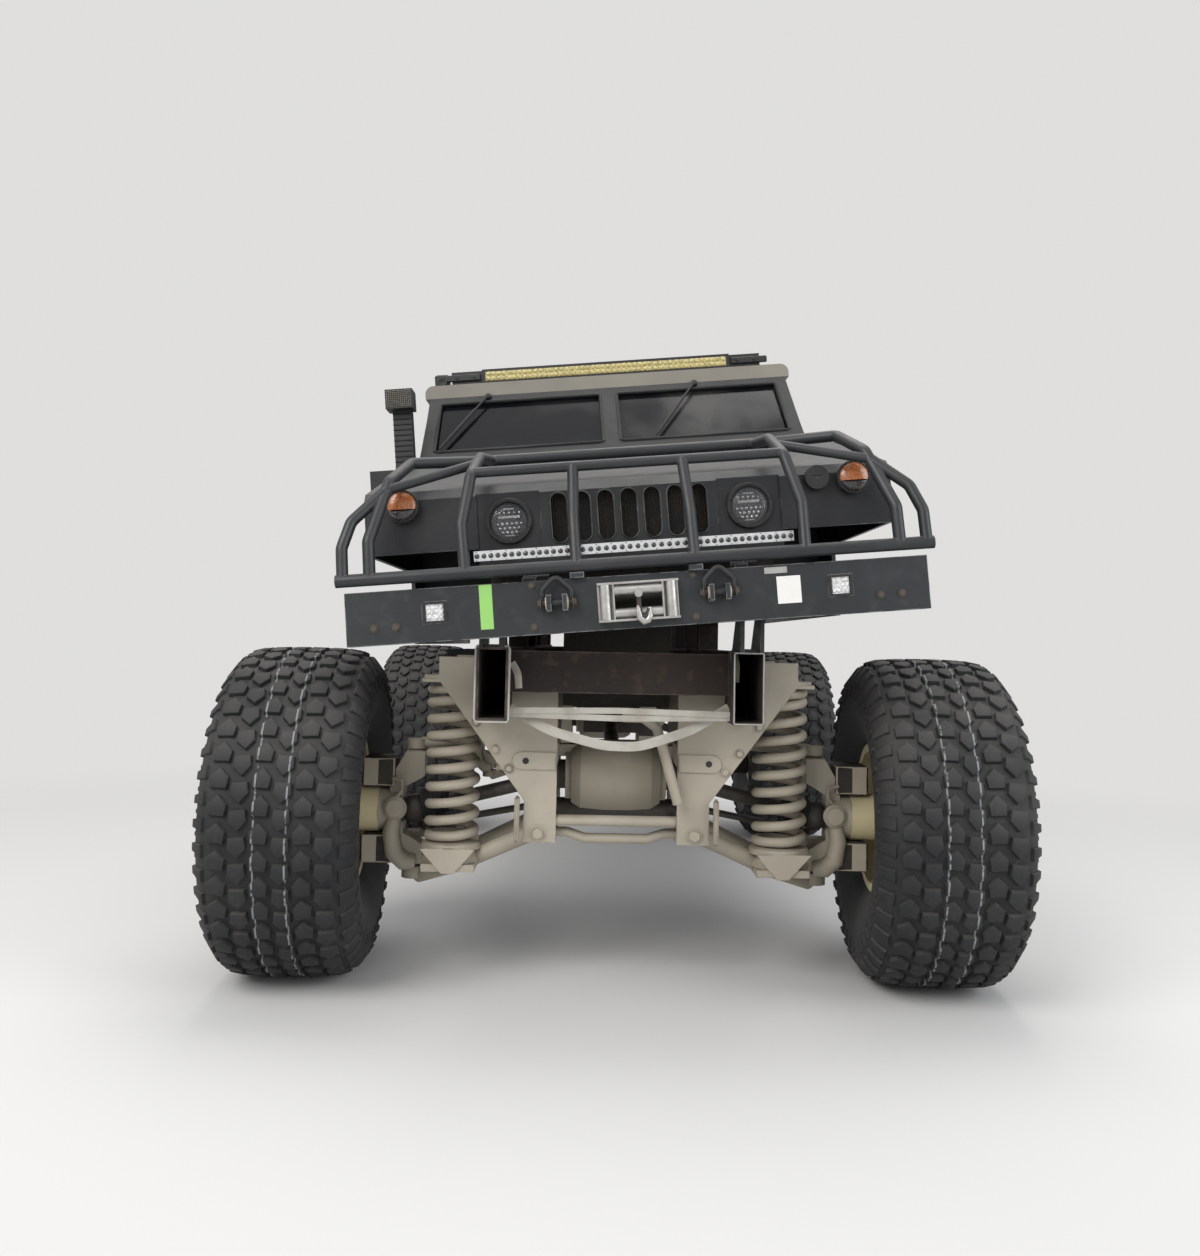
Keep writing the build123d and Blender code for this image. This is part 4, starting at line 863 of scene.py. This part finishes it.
# %% Bumper dressing
tape = leaned(boxed((-0.587, bumper_front - 0.0015, 1.504), (-0.539, bumper_front + 0.001, 1.670), 0.0008))
label = leaned(boxed((0.518, bumper_front - 0.0012, 1.526), (0.607, bumper_front + 0.001, 1.628), 0.0006))
strap_end = leaned(boxed((0.475, bumper_front - 0.0012, 1.640), (0.560, bumper_front + 0.001, 1.664), 0.0006))
piece("bumper_tape", [tape], "chassis", green_tape)
piece("bumper_label", [label], "chassis", white_label)
piece("bumper_foil", [strap_end], "chassis", galvanised)

pin_y, pin_z = front_y - 0.765, 1.585
washers, mounts = [], []
for x in (-0.300, 0.300):
    for s in (-1, 1):
        washers.append(leaned(turned([(0, 0.023), (0.009, 0.023), (0.009, 0.013), (0, 0.013), (0, 0.023)],
                                     (x + s * 0.034, pin_y, pin_z), (s, 0, 0), 20)))
        mounts += [leaned(p) for p in hex_bolt((x + s * 0.058, pin_y, pin_z), (s, 0, 0), 0.034, 0.014)]
    for z in (1.500, 1.655):
        mounts += [leaned(p) for p in hex_bolt((x - 0.09, bumper_front, z), forward, 0.022, 0.010)]
piece("shackle_washers", washers, "chassis", rim_cream)
piece("shackle_bolts", mounts, "chassis", dark_bolt)

bolts = []
for x in (-0.98, -0.90, 0.90, 0.98):
    bolts += [leaned(p) for p in hex_bolt((x, bumper_front, 1.535), forward, 0.024, 0.010)]
for x in (-0.135, 0.135):
    for z in (1.520, 1.625):
        bolts += [leaned(p) for p in hex_bolt((x, bumper_front, z), forward, 0.018, 0.009)]
piece("bumper_bolts", bolts, "chassis", dark_bolt)

# %% [markdown]
# ## Webbing between the rails
# A tied strap is a flat band: a tube whose ring is squeezed to a thin ellipse. Two bands run nearly
# straight from rail to rail, one sags between them, and a thin loop goes round the rail at x < 0.

# %% Straps
def band(points, half_wide=0.019, steps=40):
    """A flat band through a few points: each coordinate is interpolated along the length."""
    points = np.array(points, float)
    far = np.concatenate([[0], np.cumsum(np.linalg.norm(np.diff(points, axis=0), axis=1))])
    t = np.linspace(0, far[-1], steps)
    path = np.column_stack([np.interp(t, far, points[:, k]) for k in range(3)])
    for _ in range(3):
        path[1:-1] = (path[:-2] + 2 * path[1:-1] + path[2:]) / 4
    return piped(path, half_wide, 12, flat=(1.0, 0.08))


rail_in, strap_y = 0.434, front_y - 0.470
straps = [band([(-rail_in, strap_y, 1.142), (0, strap_y + 0.001, 1.149), (rail_in, strap_y, 1.140)], 0.012),
          band([(-rail_in, strap_y + 0.004, 1.129), (0, strap_y + 0.005, 1.118),
                (rail_in, strap_y + 0.004, 1.128)], 0.012),
          band([(-rail_in, strap_y + 0.032, 1.150), (-0.27, strap_y + 0.033, 1.062),
                (-0.06, strap_y + 0.033, 1.008), (0.08, strap_y + 0.033, 1.006),
                (0.28, strap_y + 0.033, 1.072), (rail_in, strap_y + 0.032, 1.166)])]
corners = [(-0.430, 1.103), (-0.560, 1.103), (-0.560, 1.393), (-0.430, 1.393)]
loop = []
for (xa, za), (xb, zb) in zip(corners, corners[1:] + corners[:1]):
    loop += [(xa + (xb - xa) * t, front_y - 0.553, za + (zb - za) * t) for t in np.linspace(0.04, 0.96, 7)]
straps.append(piped(loop, 0.005, 8, closed=True))
piece("webbing", straps, "chassis", pale_webbing, stands_for=["tie_straps"])
loose = band([(-0.425, strap_y - 0.012, 1.33), (-0.40, strap_y - 0.022, 1.29),
              (-0.395, strap_y - 0.026, 1.23)], 0.014, 14)
olive = band([(0.44, strap_y - 0.016, 1.395), (0.452, strap_y - 0.024, 1.34),
              (0.45, strap_y - 0.022, 1.27)], 0.016, 14)
piece("webbing_ends", [loose], "chassis", pale_webbing)
piece("webbing_olive", [olive], "chassis", olive_webbing)

# %% [markdown]
# ## Hardware of the four corners
# The corners are alike, so each piece is drawn once for the front left one, mirrored, and shifted
# to the rear. Bolts follow the slanted edge of the carrier plates, and the half shafts' joints
# wear ribbed rubber boots, whose profile is a zigzag that narrows towards the shaft.

# %% Bolts and boots
def four_corners(parts):
    """Parts drawn about the front left axle end, also for the other three."""
    shift = np.array((0, axle_y["rear"] - axle_y["front"], 0))
    pair = both(parts)
    return pair + [(np.array(p) + shift, f) for p, f in pair]


def plate(outline, y_near, y_far):
    """A flat plate across the truck: its (x, z) outline, counterclockwise from the front, at two depths."""
    flat = np.array(outline, float)
    ends = [np.column_stack([flat[:, 0], np.full(len(flat), y), flat[:, 1]]) for y in (y_near, y_far)]
    count = len(flat)
    return np.concatenate(ends), [grid_faces(2, count, wrap_cols=True)[:, ::-1],
                                  np.arange(count)[None, :], np.arange(count)[None, ::-1] + count]


axle, plates, hole_shade_discs = front_y, [], []
turn_in = np.linspace(-0.5 * np.pi, 0.5 * np.pi, 9)
for face, out in ((axle - 0.300, (0, -1, 0)), (axle + 0.300, (0, 1, 0))):
    for t in (0.140, 0.235, 0.370):
        plates += hex_bolt((0.356 + 0.598 * t, face, 0.785 + 0.801 * t), out, 0.030, 0.014)
    plates += hex_bolt((0.318, face, 0.640), out, 0.050, 0.018)
tab_end = [(0.390 + 0.035 * math.cos(a), 0.930 + 0.035 * math.sin(a)) for a in turn_in[1:-1]]
tab = [(0.250, 0.895), (0.390, 0.895)] + tab_end
plates.append(plate(tab + [(0.390, 0.965), (0.250, 0.965)], axle - 0.308, axle - 0.300))
# A thin black disc on each tab's face stands in for its hole: painted shade, with no opening cut.
hole_shade_discs.append(turned([(0, 0.013), (0.0015, 0.013)], (0.372, axle - 0.308, 0.930), (0, -1, 0), 20))
piece("carrier_tab_hole_shade", four_corners(hole_shade_discs), "chassis", plastic_black)
piece("carrier_bolts", four_corners(plates), "chassis", sand_plate)

corner_parts = []
corner_parts.append(boxed((0.392, axle - 0.345, 0.606), (0.412, axle - 0.3005, 0.790), 0.008))
spring_bracket = [(0.655, 0.468), (0.705, 0.468), (0.795, 0.568), (0.570, 0.568)]
corner_parts.append(plate(spring_bracket, axle - 0.293, axle - 0.2855))
corner_parts.append(turned([(0, 0.130), (0.014, 0.130), (0.014, 0.060), (0.030, 0.055), (0.030, 0.0005)],
                    (spring_x, axle - spring_ahead, 1.2535), (0, 0, 1), 28))
corner_parts.append(turned([(-0.004, 0.128), (0.004, 0.128), (0.020, 0.118), (0.030, 0.080)],
                    (spring_x, axle - spring_ahead, 0.560), (0, 0, 1), 28))
piece("carrier_lugs", four_corners(corner_parts), "chassis", sand_plate)

inner, outer = np.array((0.240, axle, 0.842)), np.array((0.845, axle, 0.690))
run = outer - inner
reach = float(np.linalg.norm(run))
fold = np.arange(13)
far_boot = [(0.99 * reach - 0.13 + 0.0095 * k, 0.040 + 0.0022 * k + (0.009 if k % 2 else 0.0)) for k in fold]
near_boot = [(0.070 + 0.0095 * k, 0.068 - 0.0022 * k + (0.009 if k % 2 else 0.0)) for k in fold]
boots = [turned(far_boot, inner, run, 24), turned(near_boot, inner, run, 24)]
piece("shaft_boots", four_corners(boots), "chassis", plain_rubber)

# %% [markdown]
# The brake chambers, their pipes and the caliper covers turn with the front uprights, so the front
# ones ride there and the rear ones on the chassis.

# %% Brakes
def chamber(side, end):
    """A brake chamber on the upright's front, its bent pipe, and the forging that curves down below it."""
    y = axle_y[end]
    body = turned([(0, 0.030), (0.02, 0.044), (0.040, 0.046), (0.043, 0.050), (0.050, 0.050), (0.053, 0.044),
                   (0.062, 0.036), (0.066, 0.0005)], (side * 0.930, y - 0.060, 0.700), (0, -1, 0), 24)
    pipe_path = [(0.925, -0.10, 0.745), (0.900, -0.105, 0.775), (0.905, -0.095, 0.815),
                 (0.950, -0.080, 0.822)]
    forging_path = [(0.935, -0.070, 0.690), (0.950, -0.080, 0.590), (0.935, -0.075, 0.510),
                    (0.895, -0.060, 0.472), (0.850, -0.050, 0.470)]
    pipe, forging = (piped([(side * px, y + py, pz) for px, py, pz in path], radius, sides)
                     for path, radius, sides in ((pipe_path, 0.008, 8),
                                                 (forging_path, [0.030, 0.036, 0.040, 0.040, 0.034], 14)))
    return [body, pipe, forging]


def caliper_covers(side, end):
    """A dark block over each brake caliper, a few millimetres larger than the solid."""
    y = axle_y[end]
    return [boxed((side * 0.940, y - 0.078, z - 0.006), (side * 1.081, y + 0.078, z + 0.121), 0.012)
            for z in (0.467, 0.790)]


for end in ("front", "rear"):
    for side in (-1, 1):
        rides = f"steered_{side_names[side]}" if end == "front" else "chassis"
        place = f"{end}_{side_names[side]}"
        piece(f"brake_chamber_{place}", chamber(side, end), rides, sand_paint)
        piece(f"caliper_covers_{place}", caliper_covers(side, end), rides, machine_dark)

# %% [markdown]
# Between the carriers a painted pipe comes down beside the differential, and the driver's rail has
# a bright freshly cut edge. The winch's hook is polished where the solid one is plain.

# %% Pipe, cut edge and hook
down_pipe = piped([(0.02, -2.10, 1.115), (0.10, -2.12, 1.115), (0.155, -2.13, 1.075), (0.185, -2.13, 0.98),
                   (0.245, -2.13, 0.775)], 0.021, 14)
piece("down_pipe", [down_pipe], "chassis", sand_paint)
edge = [(0.4385, 1.1115), (0.5515, 1.1115), (0.5515, 1.3845), (0.4385, 1.3845)]
cut = []
for (xa, za), (xb, zb) in zip(edge, edge[1:] + edge[:1]):
    cut += [(xa + (xb - xa) * t, front_y - 0.5602, za + (zb - za) * t) for t in np.linspace(0.02, 0.98, 6)]
piece("rail_cut_edge", [piped(cut, 0.0038, 6, closed=True)], "chassis", galvanised)
hook_y = front_y - 0.795
hook = [(0, 1.602), (0, 1.560), (-0.004, 1.535), (0.0, 1.508), (0.014, 1.494), (0.030, 1.498), (0.038, 1.515),
        (0.036, 1.545)]
hook_radii = [0.006, 0.008, 0.011, 0.0125, 0.013, 0.0125, 0.011, 0.008]
eye_profile = [(-0.016, 0.0005), (-0.016, 0.014), (0.016, 0.014), (0.016, 0.0005)]
hook_parts = [piped([(x, hook_y, z) for x, z in hook], hook_radii, 12),
              turned(eye_profile, (0, hook_y, 1.598), (0, 1, 0), 20)]
piece("winch_hook", [leaned(p) for p in hook_parts], "chassis", galvanised)

# %% [markdown]
# ## Wheel nuts and hub covers
# Ten nuts stand on a circle round each hub: positions (radius * cos a, radius * sin a), turned with
# the wheel by `at_wheel`, the same function that places the tyres.

# %% Wheel nuts
nut_face, hub_face = 0.111, 0.170
for end in ("front", "rear"):
    for side in (-1, 1):
        nuts = []
        for k in range(10):
            a = 2 * np.pi * k / 10
            nuts += hex_bolt((nut_face, 0.150 * math.cos(a), 0.150 * math.sin(a)), (1, 0, 0), 0.034, 0.024)
        nuts.append(turned([(hub_face, 0.070), (hub_face + 0.012, 0.066), (hub_face + 0.016, 0.0005)],
                           (0, 0, 0), (1, 0, 0), 24))
        moved = [(at_wheel(np.array(p), side, end), f) for p, f in nuts]
        piece(f"wheel_nuts_{end}_{side_names[side]}", moved, body_of_wheel(side, end),
              dark_bolt)

# %% [markdown]
# ## Cab and body hardware
# Rivets and window beads break up the flat sides, and the intake gets a mesh and raised ribs.
# They are written for the upright body and leaned with it.

# %% Sides
rivets = []
for s in (-1, 1):
    for y in np.arange(front_y + 2.84, 2.24, 0.105):
        for z in (2.262, 1.850):
            rivets.append(leaned(rivet((s * 1.040, y, z), (s, 0, 0), 0.008)))
for x in np.arange(-0.95, 0.96, 0.10):
    rivets.append(leaned(rivet((x, front_y + 1.200, 2.889), (0, 0, 1), 0.008)))
piece("body_rivets", rivets, "chassis", body_black)



def window_bead(side, corners):
    """A rubber bead round a door's window: the (y, z) corners, laid on the wall that leans in above 2.4 m."""
    line = []
    for (ya, za), (yb, zb) in zip(corners, corners[1:] + corners[:1]):
        line += [(ya + (yb - ya) * t, za + (zb - za) * t) for t in (0.03, 0.35, 0.65, 0.97)]
    flat = np.array(line)
    x = 1.0415 - 0.055 * (flat[:, 1] - 2.400) / 0.405
    return leaned(piped(np.column_stack([side * x, front_y + flat[:, 0], flat[:, 1]]), 0.007, 8, closed=True))


for side in (-1, 1):
    front_window = [(1.060, 2.420), (1.725, 2.420), (1.725, 2.740), (1.240, 2.740)]
    rear_window = [(1.935, 2.420), (2.565, 2.420), (2.565, 2.740), (1.935, 2.740)]
    for end, corners in (("front", front_window), ("rear", rear_window)):
        door = f"door_body_{end}_{side_names[side]}"
        bead = window_bead(side, corners)
        piece(f"window_bead_{end}_{side_names[side]}", [bead], door, plain_rubber)

snorkel_front, mesh_lines = front_y + 0.800, []
for x in np.arange(-1.150, -1.028, 0.010):
    ends = [(x, snorkel_front - 0.002, 2.708), (x, snorkel_front - 0.002, 2.792)]
    mesh_lines.append(leaned(piped(ends, 0.0013, 4)))
for z in np.arange(2.710, 2.795, 0.010):
    ends = [(-1.152, snorkel_front - 0.003, z), (-1.028, snorkel_front - 0.003, z)]
    mesh_lines.append(leaned(piped(ends, 0.0013, 4)))
piece("intake_mesh", mesh_lines, "chassis", bolt_steel, smooth=False)
foldup = [leaned(boxed((-1.1365, front_y + 0.861, z), (-1.042, front_y + 0.8655, z + 0.006), 0.002))
           for z in np.arange(2.40, 2.68, 0.028)]
piece("intake_ribs", foldup, "chassis", plastic_black)

# %% [markdown]
# ## Floor, light and camera
# A plain pale floor that fades into the backdrop, three large soft lamps and an even sky.
# The camera stands low in front, where the photograph was taken from.

# %% Floor
floor_half = 60.0
floor_mesh = bpy.data.meshes.new("studio_floor")
corners = [(x, y, 0.0) for x, y in ((-1, -1), (1, -1), (1, 1), (-1, 1))]
floor_mesh.from_pydata([(x * floor_half, y * floor_half, z) for x, y, z in corners], [], [(0, 1, 2, 3)])
floor = bpy.data.objects.new("studio_floor", floor_mesh)
scene.collection.objects.link(floor)
backdrop = (0.74, 0.735, 0.725)
floor_paint = Finish("floor_paint", Specular_IOR_Level=0.2)
pale = floor_paint.mix(floor_paint.noise(1.5), (0.72, 0.715, 0.705), (0.69, 0.685, 0.675))
floor_mesh.materials.append(floor_paint.finish(pale, floor_paint.noise(0.5) * 0.1 + 0.75))
middle = floor_paint.node("ShaderNodeTexCoord", out="Object")
far = floor_paint.node("ShaderNodeVectorMath", {"operation": "LENGTH"}, [middle], out="Value")
far = far.between(2.6, 7.5)
seen = floor_paint.node("ShaderNodeLightPath", out="Is Camera Ray")
glow = floor_paint.node("ShaderNodeEmission", {}, {"Color": backdrop, "Strength": 1.0})
laid = Value(floor_paint, floor_paint.shader.outputs[0])
shown = floor_paint.node("ShaderNodeMixShader", {}, {0: far * seen, 1: laid, 2: glow})
floor_paint.plug(shown, floor_paint.tree.nodes["Material Output"].inputs["Surface"])

world = bpy.data.worlds.new("studio_sky")
world.use_nodes = True
scene.world = world
links, made = world.node_tree.links, world.node_tree.nodes
path = made.new("ShaderNodeLightPath")
sky, wall = made["Background"], made.new("ShaderNodeBackground")
sky.inputs["Color"].default_value, sky.inputs["Strength"].default_value = (0.95, 0.97, 1.0, 1), 0.55
wall.inputs["Color"].default_value, wall.inputs["Strength"].default_value = (*backdrop, 1), 1.0
either, any_ray = made.new("ShaderNodeMath"), made.new("ShaderNodeMath")
either.operation = any_ray.operation = "MAXIMUM"
links.new(path.outputs["Is Camera Ray"], either.inputs[0])
links.new(path.outputs["Is Glossy Ray"], either.inputs[1])
links.new(either.outputs[0], any_ray.inputs[0])
links.new(path.outputs["Is Transmission Ray"], any_ray.inputs[1])
both_skies = made.new("ShaderNodeMixShader")
links.new(any_ray.outputs[0], both_skies.inputs[0])
links.new(sky.outputs[0], both_skies.inputs[1])
links.new(wall.outputs[0], both_skies.inputs[2])
links.new(both_skies.outputs[0], made["World Output"].inputs["Surface"])


# %% Lamps
def soft_lamp(name, place, target, size, watts, tint=(1.0, 0.985, 0.96)):
    """A square area lamp at a place, turned so that it faces a target."""
    data = bpy.data.lights.new(name, "AREA")
    data.size, data.energy, data.color = size, watts, tint
    thing = bpy.data.objects.new(name, data)
    scene.collection.objects.link(thing)
    back = np.array(place, float) - np.array(target, float)
    d = back / np.linalg.norm(back)
    right = np.cross((0, 0, 1), d)
    right /= np.linalg.norm(right)
    turn = Matrix(np.column_stack([right, np.cross(d, right), d]).tolist()).to_4x4()
    turn.translation = place
    thing.matrix_world = turn


soft_lamp("key", (-5.5, -9.0, 7.5), (0, -1.0, 1.2), 6.0, 760)
soft_lamp("fill", (8.0, -7.0, 4.5), (0, -1.0, 1.2), 6.0, 420, (0.96, 0.98, 1.0))
soft_lamp("top", (0.2, 1.0, 9.0), (0, 0, 1.0), 7.0, 420)
print("lamps", len(bpy.data.lights))

# %% Camera
focal_px, frame_h = 1100.0, 1256
middle_px = (600.0, 575.0)
eye = (-0.117, -6.585, 1.415)
yaw, pitch, roll = (math.radians(v) for v in (0.40, 3.51, 1.13))
ahead = np.array([math.sin(yaw) * math.cos(pitch), math.cos(yaw) * math.cos(pitch), math.sin(pitch)])
level = np.array([math.cos(yaw), -math.sin(yaw), 0.0])
above = np.cross(level, ahead)
right = level * math.cos(roll) + above * math.sin(roll)
up = above * math.cos(roll) - level * math.sin(roll)
camera_data = bpy.data.cameras.new("camera")
camera_data.sensor_fit, camera_data.sensor_height = "VERTICAL", 36.0
camera_data.lens = 36.0 * focal_px / frame_h
camera_data.shift_y = (middle_px[1] - frame_h / 2) / frame_h
camera = bpy.data.objects.new("camera", camera_data)
scene.collection.objects.link(camera)
stand = Matrix(np.column_stack([right, up, -ahead]).tolist()).to_4x4()
stand.translation = eye
camera.matrix_world = stand
scene.camera = camera
print("lens", round(camera_data.lens, 2), "mm")

# %% The end
bpy.context.view_layer.update()
